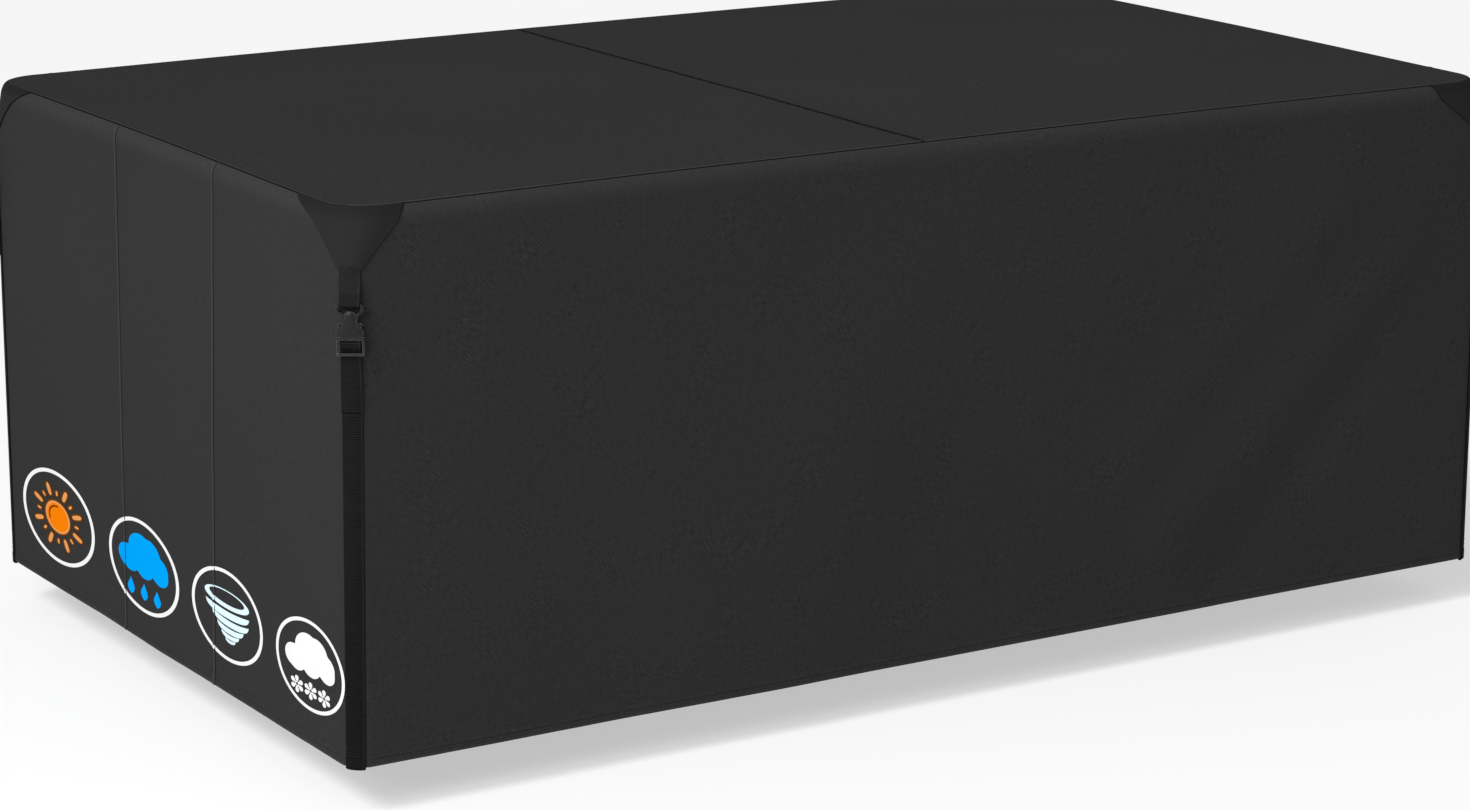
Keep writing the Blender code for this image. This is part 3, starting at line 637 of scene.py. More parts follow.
# painted shade in the top's seam and on the ridge's edge; painted highlights on the ridge and on the lip,
# stronger along the long sides
GROOVE_SHADE, RIDGE_HIGHLIGHT, LONG_LIP_HIGHLIGHT, END_LIP_HIGHLIGHT = -0.95, 0.35, 1.0, 0.25
GROOVE_ON_RIGHT, GROOVE_ON_LEFT, RIDGE_TO, LIP_HIGHLIGHT_TO = 0.0012, 0.0024, 0.0032, 0.0019


def edge_width(x):
    """Half the top's width at a place along it, less in the rounded corners."""
    into = abs(x) - (TOP_HALF_LENGTH - TOP_CORNER_RADIUS)
    if into <= 0.0:
        return TOP_HALF_WIDTH
    across = math.sqrt(max(TOP_CORNER_RADIUS ** 2 - into ** 2, 0.0))
    return TOP_HALF_WIDTH - TOP_CORNER_RADIUS + across


def edge_distance(x, y):
    """How far a point of the top is from the top's outline."""
    corner_x = abs(x) - (TOP_HALF_LENGTH - TOP_CORNER_RADIUS)
    corner_y = abs(y) - (TOP_HALF_WIDTH - TOP_CORNER_RADIUS)
    if corner_x > 0.0 and corner_y > 0.0:
        return TOP_CORNER_RADIUS - math.hypot(corner_x, corner_y)
    return min(TOP_HALF_LENGTH - abs(x), TOP_HALF_WIDTH - abs(y))


def top_heights(x, y):
    """The heights of the top's outer face and of its underside at a place."""
    edge = max(edge_distance(x, y), 0.0)
    if edge < LIP_ROLL:
        half = max(math.sqrt(max(LIP_ROLL ** 2 - (LIP_ROLL - edge) ** 2, 0.0)), LEAST_ROLL)
        above, below = LIP_ROLL + half, LIP_ROLL - half
    else:
        above, below = read_profile(LIP, edge), 0.0
    away = x - TOP_SEAM_X
    if abs(away) < SEAM_REACH and edge > LIP_CLEAR:
        above += seam_rise(away) * smooth((edge - LIP_CLEAR) / LIP_CLEAR)
    broad = sum(share * noise.noise(Vector((x * a, y * b, seed))) for share, a, b, seed in TOP_WAVES)
    unevenness = TOP_UNEVEN * bpy.context.scene.cover_cloth.unevenness
    wave = unevenness * broad * smooth((edge - UNEVEN_FROM) / UNEVEN_FADE)
    around = x if by_long_side(x, y) else y + NEXT_WAVE
    wave += ripple(around, max(edge - LIP_CLEAR, 0.0), EDGE_SEED) * smooth(edge / LIP_CLEAR)
    wave += ripple(y, abs(away), SEAM_SEED) * smooth(edge / RIPPLE_CORNER)
    sag = wave - droop(x, y)
    return above + sag, min(below, above - LEAST_THICK) + sag


def by_long_side(x, y):
    """Whether a point of the top is nearer to a long side than to an end."""
    return TOP_HALF_WIDTH - abs(y) < TOP_HALF_LENGTH - abs(x)


def top_painted_light(x, y, side):
    """How much paler or darker the top's cloth is painted at a place: painted shade in its seam, painted
    highlights on the seam's ridge and on its lip.
    """
    past = (x - TOP_SEAM_X) * side
    if past < (GROOVE_ON_RIGHT if side > 0 else GROOVE_ON_LEFT):
        return GROOVE_SHADE
    if side > 0 and past < RIDGE_TO:
        return RIDGE_HIGHLIGHT
    if edge_distance(x, y) < LIP_HIGHLIGHT_TO:
        return LONG_LIP_HIGHLIGHT if by_long_side(x, y) else END_LIP_HIGHLIGHT
    return 0.0


def top_half(side):
    """The mesh of one width of the top, from the seam across the cover to an end."""
    step = bpy.context.scene.cover_cloth.step
    seam = TOP_SEAM_X + side * JOINT_GAP
    start = TOP_HALF_LENGTH - TOP_CORNER_RADIUS
    table = SEAM_RIDGE if side > 0 else SEAM_GROOVE
    columns = [seam] + [TOP_SEAM_X + side * row[0] for row in table[1:]]
    columns += spread(columns[-1], side * start, step)[1:]
    columns += [side * (start + TOP_CORNER_RADIUS * math.sin(math.radians(a))) for a in CORNER_TURNS]
    steps = [*LIP_STEPS, *[row[0] for row in LIP], *PAST_LIP_STEPS]
    inside = spread(TOP_HALF_WIDTH - steps[-1], -TOP_HALF_WIDTH + steps[-1], step)[1:-1]
    tuck = [TOP_SEAM_X + away for away, _ in SEAM_TUCK] if side < 0 else []
    order = 1 if side > 0 else -1
    outer, inner, weave, painted_light = [], [], [], []
    for x in tuck + columns:
        width = edge_width(x)
        half = [width - step_in for step_in in steps]
        shrink = half[-1] / (TOP_HALF_WIDTH - steps[-1])
        ys = half + [y * shrink for y in inside] + [-y for y in half[::-1]]
        row, under = [], []
        for y in ys:
            place = x
            above, below = top_heights(x, y)
            if x in tuck:
                place = seam + (x - seam) * smooth((edge_distance(x, y) - TUCK_FROM) / TUCK_FADE)
                above, below = below - TUCK_ABOVE, below - TUCK_BELOW
            row.append(Vector((place, y, above)))
            under.append(Vector((place, y, below)))
        outer.append(row[::order])
        inner.append(under[::order])
        painted_light.append([top_painted_light(x, y, side) for y in ys][::order])
        weave.append([(x, y) for y in ys][::order])
    name = "top_cloth_right" if side > 0 else "top_cloth_left"
    return closed_cloth(name, outer, inner, weave, painted_light, sharp=60.0, grain=TOP_GRAIN)


# -------- gussets

GUSSET_EDGE = (
    # distance in from the gusset's edge, height of its outer face over the wall
    (0.0, 0.0006), (0.0004, 0.0016), (0.0009, 0.0021), (0.0025, 0.0022), (0.0033, 0.0019),
    (0.0040, 0.0019), (0.0055, 0.0020), (0.0070, 0.0017),
)
GUSSET_UNDER, GUSSET_STEP, GUSSET_COLUMNS, AT_FOOT = 0.0004, 0.0028, 40, 0.0001
# painted shade along the gusset's edges and in a band beneath the lip
GUSSET_EDGE_SHADE, GUSSET_SHADE, SHADE_FROM, SHADE_FADE = -0.9, -0.30, 0.004, 0.014


def gusset_reach(corner, depth):
    """How far a gusset reaches from the corner's middle at a depth: (end wall, long wall)."""
    turn, end_reach, side_reach = corner[3], corner[5], corner[6]
    shift = WALL_CORNER_RADIUS * math.radians(turn)
    end_tip, side_tip = GUSSET_TIP_HALF + shift, GUSSET_TIP_HALF - shift
    end = end_tip + (end_reach - end_tip) * read_profile(GUSSET_END_TAPER, depth)
    side = side_tip + (side_reach - side_tip) * read_profile(GUSSET_SIDE_TAPER, depth)
    return end, side


def gusset(name, corner):
    """The mesh of the smooth patch that lies over a top corner and narrows to the webbing."""
    x_side, y_side = corner[1:3]
    rows_at = [(inset, depth) for inset, depth, _ in SHOULDER[1:]]
    rows_at += [(0.0, depth) for depth in spread(SHOULDER[-1][1], GUSSET_TIP_DEPTH, GUSSET_STEP)[1:]]
    edge_steps = [row[0] for row in GUSSET_EDGE]
    order = -1 if x_side * y_side > 0 else 1
    rows, lifts, painted_light = [], [], []
    for inset, depth in rows_at:
        end, side = gusset_reach(corner, depth)
        first, last = -side + edge_steps[-1], end - edge_steps[-1]
        places = [-side + step for step in edge_steps]
        places += [first + (last - first) * i / GUSSET_COLUMNS for i in range(1, GUSSET_COLUMNS)]
        places += [end - step for step in edge_steps[::-1]]
        from_foot = GUSSET_TIP_DEPTH - depth + AT_FOOT
        rows.append([from_corner(x_side, y_side, place, inset, depth) for place in places][::order])
        edges = [min(place + side, end - place, from_foot) for place in places]
        lifts.append([read_profile(GUSSET_EDGE, edge) for edge in edges][::order])
        # painted shade beneath the lip and along both edges
        shade = GUSSET_SHADE * fading(depth, SHADE_FROM, SHADE_FADE)
        painted_light.append([GUSSET_EDGE_SHADE] * 2 + [shade] * (len(places) - 4) + [GUSSET_EDGE_SHADE] * 2)
    outer, inner = [], []
    for row, normals, lift in zip(rows, grid_normals(rows), lifts):
        under = [min(GUSSET_UNDER, high - LEAST_THICK) for high in lift]
        outer.append([p + n * high for p, n, high in zip(row, normals, lift)])
        inner.append([p + n * low for p, n, low in zip(row, normals, under)])
    return closed_cloth(name, outer, inner, grid_lengths(rows), painted_light, sharp=55.0)


# -------- webbing

RIB_ROOM = 0.00015
# the last two settings are the painted shade in the ribs' grooves and the painted highlight on their crests
SHORT_WEAVE = {
    "Slant": -0.0034, "Plain From": 0.033, "Plain To": 0.058, "Groove Shade": 0.3, "Crest Highlight": 2.6,
}
LONG_WEAVE = {
    "Slant": 0.0002, "Plain From": 9.0, "Plain To": 9.0, "Groove Shade": 0.35, "Crest Highlight": 1.5,
}
WEB_EDGE = (
    # share of the half width, share of the full thickness there
    (0.0, 1.0), (0.25, 1.0), (0.5, 1.0), (0.75, 1.0), (0.9, 1.0), (0.97, 0.8), (1.0, 0.35),
)


def corner_frame(x_side, y_side, turn):
    """The arc's middle, the outward way and the way to the right, seen from outside a corner."""
    centre = corner_centre(x_side, y_side, 0.0, WALL_CORNER_RADIUS)
    angle = math.radians(45.0 - turn)
    outward = Vector((x_side * math.cos(angle), y_side * math.sin(angle), 0.0))
    right = Vector((-outward.y, outward.x, 0.0))
    return Vector((centre.x, centre.y, 0.0)), outward, right


def strap_frame(corner, z):
    """The corner's frame for its strap at a height, as the strap leans between buckle and hem."""
    x_side, y_side, turn, foot_turn = corner[1:5]
    down = min(max((STRAP_LEAN_TOP - z) / (HEIGHT + STRAP_LEAN_TOP), 0.0), 1.0)
    return corner_frame(x_side, y_side, turn + (foot_turn - turn) * down)


def band_point(corner, height, z, flat, across):
    """A point of a strap at a height off the wall, and at a distance across it."""
    centre, outward, right = strap_frame(corner, z)
    reach = WALL_CORNER_RADIUS + height
    bend = across / WALL_CORNER_RADIUS
    curved = outward * (reach * math.cos(bend)) + right * (reach * math.sin(bend))
    level = outward * reach + right * across
    return centre + curved.lerp(level, flat) + Vector((0.0, 0.0, z))


def strap_mesh(name, corner, path, step):
    """A closed strip of webbing along a path of (height, z, flatness), before its ribs."""
    shares = [-share for share, _ in WEB_EDGE[:0:-1]] + [share for share, _ in WEB_EDGE]
    thick = [(WEB_THICK / 2 - RIB_ROOM) * read_profile(WEB_EDGE, abs(share)) for share in shares]
    points = smooth_path(path, step)
    rows = [[band_point(corner, h, z, f, WEB_HALF_WIDTH * s) for s in shares] for h, z, f in points]
    outer, inner = [], []
    for row, line in zip(rows, grid_normals(rows)):
        outer.append([p + n * t for p, n, t in zip(row, line, thick)])
        inner.append([p - n * t for p, n, t in zip(row, line, thick)])
    run, middle = 0.0, len(shares) // 2
    weave = []
    for before, row in zip([rows[0]] + rows, rows):
        run += (row[middle] - before[middle]).length
        weave.append([(WEB_HALF_WIDTH * s, run) for s in shares])
    mesh = closed_cloth(name, outer, inner, weave, sharp=60.0)
    add_mark(mesh, "run", [place[1] for line in weave for place in line] * 2)
    add_mark(mesh, "across", [place[0] / WEB_HALF_WIDTH for line in weave for place in line] * 2)
    return mesh


def turn_round(middle_height, middle_z, start, stop, radius, flat):
    """Points of a turn round a bar, from one angle to another in degrees."""
    count = max(int(abs(stop - start) / 18.0), 3)
    points = []
    for i in range(count + 1):
        angle = math.radians(start + (stop - start) * i / count)
        points.append((middle_height + radius * math.cos(angle), middle_z + radius * math.sin(angle), flat))
    return points


def short_path():
    """The short webbing from the gusset's tip, round the socket's bar and back up behind."""
    lying = WEB_THICK / 2 + GAP
    path = [
        (lying + 0.0002, -GUSSET_TIP_DEPTH + 0.0060, 0.0),
        (lying + 0.0002, -GUSSET_TIP_DEPTH - 0.0010, 0.0),
        (lying + 0.0008, -0.0850, 0.3),
        (lying + 0.0036, -0.1000, 0.8),
        (BAR_HEIGHT + LOOP_RADIUS - 0.0004, -0.1140, 1.0),
    ]
    path += turn_round(BAR_HEIGHT, BUCKLE_TOP - BAR_HALF, 0.0, -180.0, LOOP_RADIUS, 1.0)
    path += [
        (BAR_HEIGHT - LOOP_RADIUS - 0.0004, -0.1120, 1.0),
        (lying + 0.0004, -0.1010, 1.0),
    ]
    return path


def long_path():
    """The long webbing: inside the hem, under it, up the corner, round the plug's bar and down."""
    lying = WEB_THICK / 2 + GAP
    hem_inside = CLOTH_THICK + HEM_STAND + lying
    hem_outside = HEM_STAND + lying
    hem_middle, hem_half = (hem_outside - hem_inside) / 2, (hem_outside + hem_inside) / 2
    path = [(-hem_inside, -HEIGHT + HEM_TURN_UP, 0.0)]
    path += turn_round(hem_middle, -HEIGHT, -180.0, 0.0, hem_half, 0.0)
    path += [
        (hem_outside, -HEIGHT + 0.012, 0.0),
        (lying, -HEIGHT + 0.016, 0.0),
        (lying, -0.5000, 0.0),
        (lying, STRAP_LEAN_TOP, 0.0),
        (lying, -0.2200, 0.3),
        (lying, -0.1900, 1.0),
        (lying, -0.1740, 1.0),
    ]
    path += turn_round(BAR_HEIGHT, PLUG_BAR_Z, 170.0, -10.0, LOOP_RADIUS, 1.0)
    second = lying + WEB_THICK + GAP
    path += [
        (second + 0.0028, -0.1722, 1.0),
        (second, -0.1768, 1.0),
        (second, -0.1900, 1.0),
        (second, -0.2200, 0.3),
        (second, TAIL_END, 0.0),
    ]
    return path


# -------- node trees

RIB_POWER, SELVEDGE_POWER, SELVEDGE_RISE = 0.8, 10.0, 0.5
PLAIN_FLATTENS, PLAIN_FADES = 0.75, 0.3
STITCH_TWIST = 0.06


def add_node(tree, kind, inputs=None, **settings):
    """Add a node, with its settings, and its inputs as values or links."""
    made = tree.nodes.new(kind)
    for key, value in settings.items():
        setattr(made, key, value)
    for key, value in (inputs or {}).items():
        if isinstance(value, bpy.types.NodeSocket):
            tree.links.new(value, made.inputs[key])
        else:
            made.inputs[key].default_value = value
    return made


def output_of(tree, kind, inputs=None, **settings):
    """The first output of a new node."""
    return add_node(tree, kind, inputs, **settings).outputs[0]


def compute(tree, operation, *values):
    """The output of a Math node; works in shader and geometry trees."""
    return output_of(tree, "ShaderNodeMath", dict(enumerate(values)), operation=operation)


def plus(tree, total, *values):
    """The sum of numbers and sockets."""
    for value in values:
        total = compute(tree, "ADD", total, value)
    return total


def minus(tree, value, less):
    """The difference of two numbers or sockets."""
    return compute(tree, "SUBTRACT", value, less)


def times(tree, product, *values):
    """The product of numbers and sockets."""
    for value in values:
        product = compute(tree, "MULTIPLY", product, value)
    return product


def weighted(tree, base, *parts):
    """A base with sockets added to it, each by its own weight."""
    return plus(tree, base, *[times(tree, socket, weight) for socket, weight in parts])


def geometry_tree(name, inputs):
    """A new Geometry Nodes tree with named inputs: (tree, its input sockets)."""
    tree = bpy.data.node_groups.new(name, "GeometryNodeTree")
    tree.interface.new_socket("Geometry", in_out="INPUT", socket_type="NodeSocketGeometry")
    tree.interface.new_socket("Geometry", in_out="OUTPUT", socket_type="NodeSocketGeometry")
    for label, kind in inputs:
        tree.interface.new_socket(label, in_out="INPUT", socket_type=kind)
    given = tree.nodes.new("NodeGroupInput")
    return tree, given.outputs


def close_tree(tree, geometry, material):
    """End a tree in real geometry with its material."""
    real = output_of(tree, "GeometryNodeRealizeInstances", {"Geometry": geometry})
    smoothed = output_of(tree, "GeometryNodeSetShadeSmooth", {"Geometry": real})
    painted = output_of(tree, "GeometryNodeSetMaterial", {"Geometry": smoothed, "Material": material})
    add_node(tree, "NodeGroupOutput", {"Geometry": painted})


def bake_tree(mesh, tree, values):
    """The plain mesh that a tree makes of a mesh."""
    holder = linked("holder", mesh)
    change = holder.modifiers.new("shape", "NODES")
    change.node_group = tree
    for item in tree.interface.items_tree:
        if item.item_type == "SOCKET" and item.in_out == "INPUT" and item.name in values:
            change[item.identifier] = values[item.name]
    bpy.context.view_layer.update()
    ready = holder.evaluated_get(bpy.context.evaluated_depsgraph_get())
    result = bpy.data.meshes.new_from_object(ready)
    holder.modifiers.remove(change)
    bpy.data.objects.remove(holder, do_unlink=True)
    return result


def stored_value(tree, name, data_type="FLOAT"):
    """A mesh attribute, read in a geometry tree."""
    return output_of(tree, "GeometryNodeInputNamedAttribute", {"Name": name}, data_type=data_type)


def rib_tree():
    """Ribs across a strap: each point rises along its normal by its place along the weave, and carries
    painted shade in the grooves and a painted highlight on the crests.
    """
    labels = ("Pitch", "Rise", "Slant", "Plain From", "Plain To", "Groove Shade", "Crest Highlight")
    floats = [(label, "NodeSocketFloat") for label in labels]
    tree, given = geometry_tree("webbing_ribs", floats + [("Material", "NodeSocketMaterial")])
    run, across = stored_value(tree, "run"), stored_value(tree, "across")
    slanted = plus(tree, run, times(tree, across, given["Slant"]))
    turn = times(tree, compute(tree, "DIVIDE", slanted, given["Pitch"]), math.pi)
    rib = compute(tree, "POWER", compute(tree, "ABSOLUTE", compute(tree, "SINE", turn)), RIB_POWER)
    ribbed = minus(tree, 1.0, compute(tree, "POWER", compute(tree, "ABSOLUTE", across), SELVEDGE_POWER))
    selvedge = times(tree, minus(tree, 1.0, ribbed), SELVEDGE_RISE)
    woven = plus(tree, times(tree, rib, ribbed), selvedge)
    after = compute(tree, "GREATER_THAN", run, given["Plain From"])
    before = compute(tree, "LESS_THAN", run, given["Plain To"])
    plain = times(tree, after, before)
    rise = times(tree, woven, given["Rise"], minus(tree, 1.0, times(tree, plain, PLAIN_FLATTENS)))
    normal = output_of(tree, "GeometryNodeInputNormal")
    shift = output_of(tree, "ShaderNodeVectorMath", {0: normal, "Scale": rise}, operation="SCALE")
    moved = output_of(tree, "GeometryNodeSetPosition", {"Geometry": given["Geometry"], "Offset": shift})
    # painted shade in the grooves and painted highlights on the crests, fainter where the webbing is plain
    gain = minus(tree, given["Crest Highlight"], given["Groove Shade"])
    shown = minus(tree, 1.0, times(tree, plain, PLAIN_FADES))
    tone = plus(tree, given["Groove Shade"], times(tree, woven, shown, gain))
    toned = output_of(
        tree, "GeometryNodeStoreNamedAttribute", {"Geometry": moved, "Name": "rib_shading", "Value": tone},
        data_type="FLOAT", domain="POINT",
    )
    close_tree(tree, toned, given["Material"])
    return tree


def stitch_tree():
    """A row of stitches on each line of a mesh, laid flat by the line's facing attribute."""
    floats = [(label, "NodeSocketFloat") for label in ("Pitch", "Length", "Thread")]
    others = [("Seed", "NodeSocketInt"), ("Material", "NodeSocketMaterial")]
    tree, given = geometry_tree("stitch_rows", floats + others)
    line = output_of(tree, "GeometryNodeMeshToCurve", {"Mesh": given["Geometry"]})
    even = output_of(
        tree, "GeometryNodeResampleCurve", {"Curve": line, "Length": given["Pitch"]}, mode="LENGTH",
    )
    facing = stored_value(tree, "facing", "FLOAT_VECTOR")
    tangent = output_of(tree, "GeometryNodeInputTangent")
    lying = output_of(tree, "FunctionNodeAlignRotationToVector", {"Vector": tangent}, axis="X")
    flat = output_of(
        tree, "FunctionNodeAlignRotationToVector", {"Rotation": lying, "Vector": facing},
        axis="Z", pivot_axis="X",
    )
    twist = output_of(
        tree, "FunctionNodeRandomValue",
        {0: (0.0, 0.0, -STITCH_TWIST), 1: (0.0, 0.0, STITCH_TWIST), "Seed": given["Seed"]},
        data_type="FLOAT_VECTOR",
    )
    turned = output_of(
        tree, "FunctionNodeRotateRotation", {"Rotation": flat, "Rotate By": twist}, rotation_space="LOCAL",
    )
    stitch = output_of(tree, "GeometryNodeMeshUVSphere", {"Segments": 6, "Rings": 4, "Radius": 1.0})
    half_length, half_thread = times(tree, given["Length"], 0.5), times(tree, given["Thread"], 0.5)
    size = output_of(tree, "ShaderNodeCombineXYZ", {0: half_length, 1: half_thread, 2: half_thread})
    on_side = {"Geometry": stitch, "Rotation": (0.0, math.pi / 2, 0.0)}
    ball = output_of(tree, "GeometryNodeTransform", on_side)
    shaped = output_of(tree, "GeometryNodeTransform", {"Geometry": ball, "Scale": size})
    placed = output_of(
        tree, "GeometryNodeInstanceOnPoints", {"Points": even, "Instance": shaped, "Rotation": turned},
    )
    close_tree(tree, placed, given["Material"])
    return tree


# -------- finishes

YARN_PITCH = 0.0011
GRAIN_WAYS, GRAIN_STRAY = ((0.71, 0.70), (0.75, -0.66)), 0.004
CROSS_PITCH, CROSS_SHARE = 1.18, 0.4
STREAK_SQUEEZE, STREAKS_PER_PITCH, STREAK_GAIN, WAVE_GAIN = 0.30, 1.5, 5.5, 0.40


def new_finish(name, colour, roughness, specular=0.35, sheen=0.0):
    """A Principled material: (material, tree, shader)."""
    material = bpy.data.materials.new(name)
    material.use_nodes = True
    shader = material.node_tree.nodes["Principled BSDF"]
    shader.inputs["Base Color"].default_value = (*colour, 1.0)
    shader.inputs["Roughness"].default_value = roughness
    shader.inputs["Specular IOR Level"].default_value = specular
    shader.inputs["Sheen Weight"].default_value = sheen
    shader.inputs["Sheen Roughness"].default_value = 0.45
    material.diffuse_color = (*colour, 1.0)
    return material, material.node_tree, shader


def wave_of(tree, value, pitch):
    """A sine wave of a length in metres, from -1 to 1."""
    return compute(tree, "SINE", times(tree, value, 2.0 * math.pi / pitch))


def mottle(tree, place, scale, detail=2.0):
    """Soft noise from 0 to 1."""
    return output_of(tree, "ShaderNodeTexNoise", {"Vector": place, "Scale": scale, "Detail": detail})


def ramp(tree, value, low, high, first=0.0, last=1.0):
    """A value eased evenly from first to last between two limits, and held past them."""
    return output_of(tree, "ShaderNodeMapRange", {0: value, 1: low, 2: high, 3: first, 4: last})


def mark_of(tree, name):
    """A number that the mesh carries as an attribute."""
    return add_node(tree, "ShaderNodeAttribute", attribute_name=name).outputs["Fac"]


def object_place(tree):
    """The place of a point on its piece."""
    return add_node(tree, "ShaderNodeTexCoord").outputs["Object"]


def weave_place(tree):
    """The place of a point on its cloth laid flat: (both, across, along)."""
    weave = output_of(tree, "ShaderNodeUVMap", uv_map="weave")
    parts = add_node(tree, "ShaderNodeSeparateXYZ", {0: weave})
    return weave, parts.outputs[0], parts.outputs[1]


def tinted(tree, colour, amount):
    """A colour made lighter or darker by a factor from a socket."""
    tone = output_of(tree, "ShaderNodeCombineColor", {0: amount, 1: amount, 2: amount})
    inputs = {0: 1.0, 6: (*colour, 1.0), 7: tone}
    return add_node(tree, "ShaderNodeMix", inputs, data_type="RGBA", blend_type="MULTIPLY").outputs[2]


def paint(tree, shader, colour, tone):
    """Give a finish its colour, by a tone."""
    tree.links.new(tinted(tree, colour, tone), shader.inputs["Base Color"])


def emboss(tree, shader, height, strength, distance):
    """Give a finish its fine relief."""
    inputs = {"Height": height, "Strength": strength, "Distance": distance}
    tree.links.new(output_of(tree, "ShaderNodeBump", inputs), shader.inputs["Normal"])


def streaks_of(tree, across, along, pitch):
    """Uneven lines of about a pitch, from about -1 to 1: a faint wave with long streaks over it."""
    place = output_of(tree, "ShaderNodeCombineXYZ", {0: across, 1: times(tree, along, STREAK_SQUEEZE)})
    streaks = mottle(tree, place, STREAKS_PER_PITCH / pitch, 1.0)
    uneven = times(tree, minus(tree, streaks, 0.5), STREAK_GAIN)
    return plus(tree, times(tree, wave_of(tree, across, pitch), WAVE_GAIN), uneven)


def cloth_finish(name, colour, roughness, yarn, grain, grip):
    """Coated woven cloth: fine yarns, a diagonal grain in patches, and painted highlights and painted shade
    along its edges, seams and shoulders.
    """
    material, tree, shader = new_finish(name, colour, roughness, specular=0.03)
    weave, u, v = weave_place(tree)
    crossing = times(tree, wave_of(tree, u, 2 * yarn), wave_of(tree, v, 2 * yarn))
    strayed = weighted(tree, u, (mottle(tree, weave, 60.0), GRAIN_STRAY))
    down, up = [plus(tree, times(tree, strayed, a), times(tree, v, b)) for a, b in GRAIN_WAYS]
    patches = mottle(tree, weave, 13.0)
    lines = times(tree, streaks_of(tree, down, up, grain), ramp(tree, patches, 0.32, 0.68))
    other = streaks_of(tree, up, down, grain * CROSS_PITCH)
    crossed = times(tree, other, ramp(tree, patches, 0.70, 0.34), CROSS_SHARE)
    diagonal = times(tree, plus(tree, lines, crossed), mark_of(tree, "grain"))
    cloud = mottle(tree, weave, 2.6, 3.0)
    fleck = mottle(tree, weave, 900.0, 1.0)
    # the painted highlights and painted shade that the cloth's meshes carry, added to the tone
    painted_light = mark_of(tree, "painted_light")
    tone = weighted(
        tree, 0.86, (cloud, 0.16), (diagonal, grip), (crossing, 0.05), (fleck, 0.12), (painted_light, 0.70),
    )
    paint(tree, shader, colour, tone)
    rough = weighted(tree, roughness + 0.05, (cloud, -0.12), (painted_light, -0.2))
    tree.links.new(rough, shader.inputs["Roughness"])
    height = plus(tree, times(tree, crossing, 0.5), times(tree, diagonal, 0.5))
    emboss(tree, shader, height, 0.7, 0.00012)
    return material


def webbing_finish(name, colour):
    """Woven strap: yarns along it over the ribs, with painted shade in the ribs' grooves and painted
    highlights on their crests, a paler selvedge, darker towards its foot.
    """
    material, tree, shader = new_finish(name, colour, 0.78, specular=0.06)
    weave, u, v = weave_place(tree)
    slant = wave_of(tree, weighted(tree, v, (u, 0.5)), 0.0014)
    pattern = times(tree, wave_of(tree, u, YARN_PITCH), slant)
    across = mark_of(tree, "across")
    selvedge = times(tree, ramp(tree, across, 0.74, 0.82), ramp(tree, across, 0.96, 0.90))
    tone = weighted(tree, 0.75, (mottle(tree, weave, 40.0), 0.50), (pattern, 0.05))
    height = add_node(tree, "ShaderNodeSeparateXYZ", {0: object_place(tree)}).outputs["Z"]
    # the tone darkens towards the strap's foot
    darker_down = ramp(tree, height, -0.25, -0.65, 1.0, 0.68)
    # the ribs' painted shade and highlights darken and lighten the tone
    tone = weighted(tree, times(tree, tone, mark_of(tree, "rib_shading"), darker_down), (selvedge, 0.9))
    paint(tree, shader, colour, tone)
    emboss(tree, shader, pattern, 0.8, 0.00015)
    return material


def plastic_finish(name, colour):
    """Moulded acetal with a fine spark-eroded grain, and painted highlights on its rounded edges."""
    material, tree, shader = new_finish(name, colour, 0.38, specular=0.14)
    place = object_place(tree)
    smear = mottle(tree, place, 90.0, 3.0)
    # painted highlight on the rounded edges, marked as rim
    paint(tree, shader, colour, weighted(tree, 0.85, (smear, 0.3), (mark_of(tree, "rim"), 24.0)))
    tree.links.new(weighted(tree, 0.28, (smear, 0.2)), shader.inputs["Roughness"])
    emboss(tree, shader, mottle(tree, place, 2600.0), 0.25, 0.0001)
    return material


def print_finish(name, colour):
    """Screen print: even ink that sinks a little into the weave."""
    material, tree, shader = new_finish(name, colour, 0.7, specular=0.0)
    weave, u, v = weave_place(tree)
    crossing = times(tree, wave_of(tree, u, YARN_PITCH), wave_of(tree, v, YARN_PITCH))
    paint(tree, shader, colour, weighted(tree, 0.94, (mottle(tree, weave, 700.0), 0.08), (crossing, 0.03)))
    emboss(tree, shader, crossing, 0.4, 0.0001)
    return material


def thread_finish(name, colour):
    """Twisted sewing thread."""
    material, tree, shader = new_finish(name, colour, 0.65, specular=0.2)
    paint(tree, shader, colour, weighted(tree, 0.8, (mottle(tree, object_place(tree), 3000.0), 0.4)))
    return material


COVER_WEAVE = {"roughness": 0.80, "yarn": 0.00055, "grain": 0.0041, "grip": 0.19}
GUSSET_WEAVE = {"roughness": 0.72, "yarn": 0.00040, "grain": 0.0016, "grip": 0.03}
FINISHES = {
    # slot: (function that makes it, its colour among the settings, what else the function needs)
    "cover_cloth": (cloth_finish, "cloth", COVER_WEAVE),
    "gusset_cloth": (cloth_finish, "gusset", GUSSET_WEAVE),
    "strap_webbing": (webbing_finish, "webbing", {}),
    "buckle_plastic": (plastic_finish, "plastic", {}),
    "thread": (thread_finish, "thread", {}),
}
for ink in ("white", "orange", "amber", "rust", "blue", "pale_blue"):
    FINISHES["print_" + ink] = (print_finish, ink, {})


def finish(slot):
    """The material of a slot, made when it is first asked for."""
    old = bpy.data.materials.get(slot)
    if old and old.get("cover_finish"):
        return old
    if old:
        old.name = slot + "_solid"
    make, colour, values = FINISHES[slot]
    made = make(slot, getattr(bpy.context.scene.cover_finish, colour), **values)
    made.name = slot
    made["cover_finish"] = True
    return made


# -------- buckles

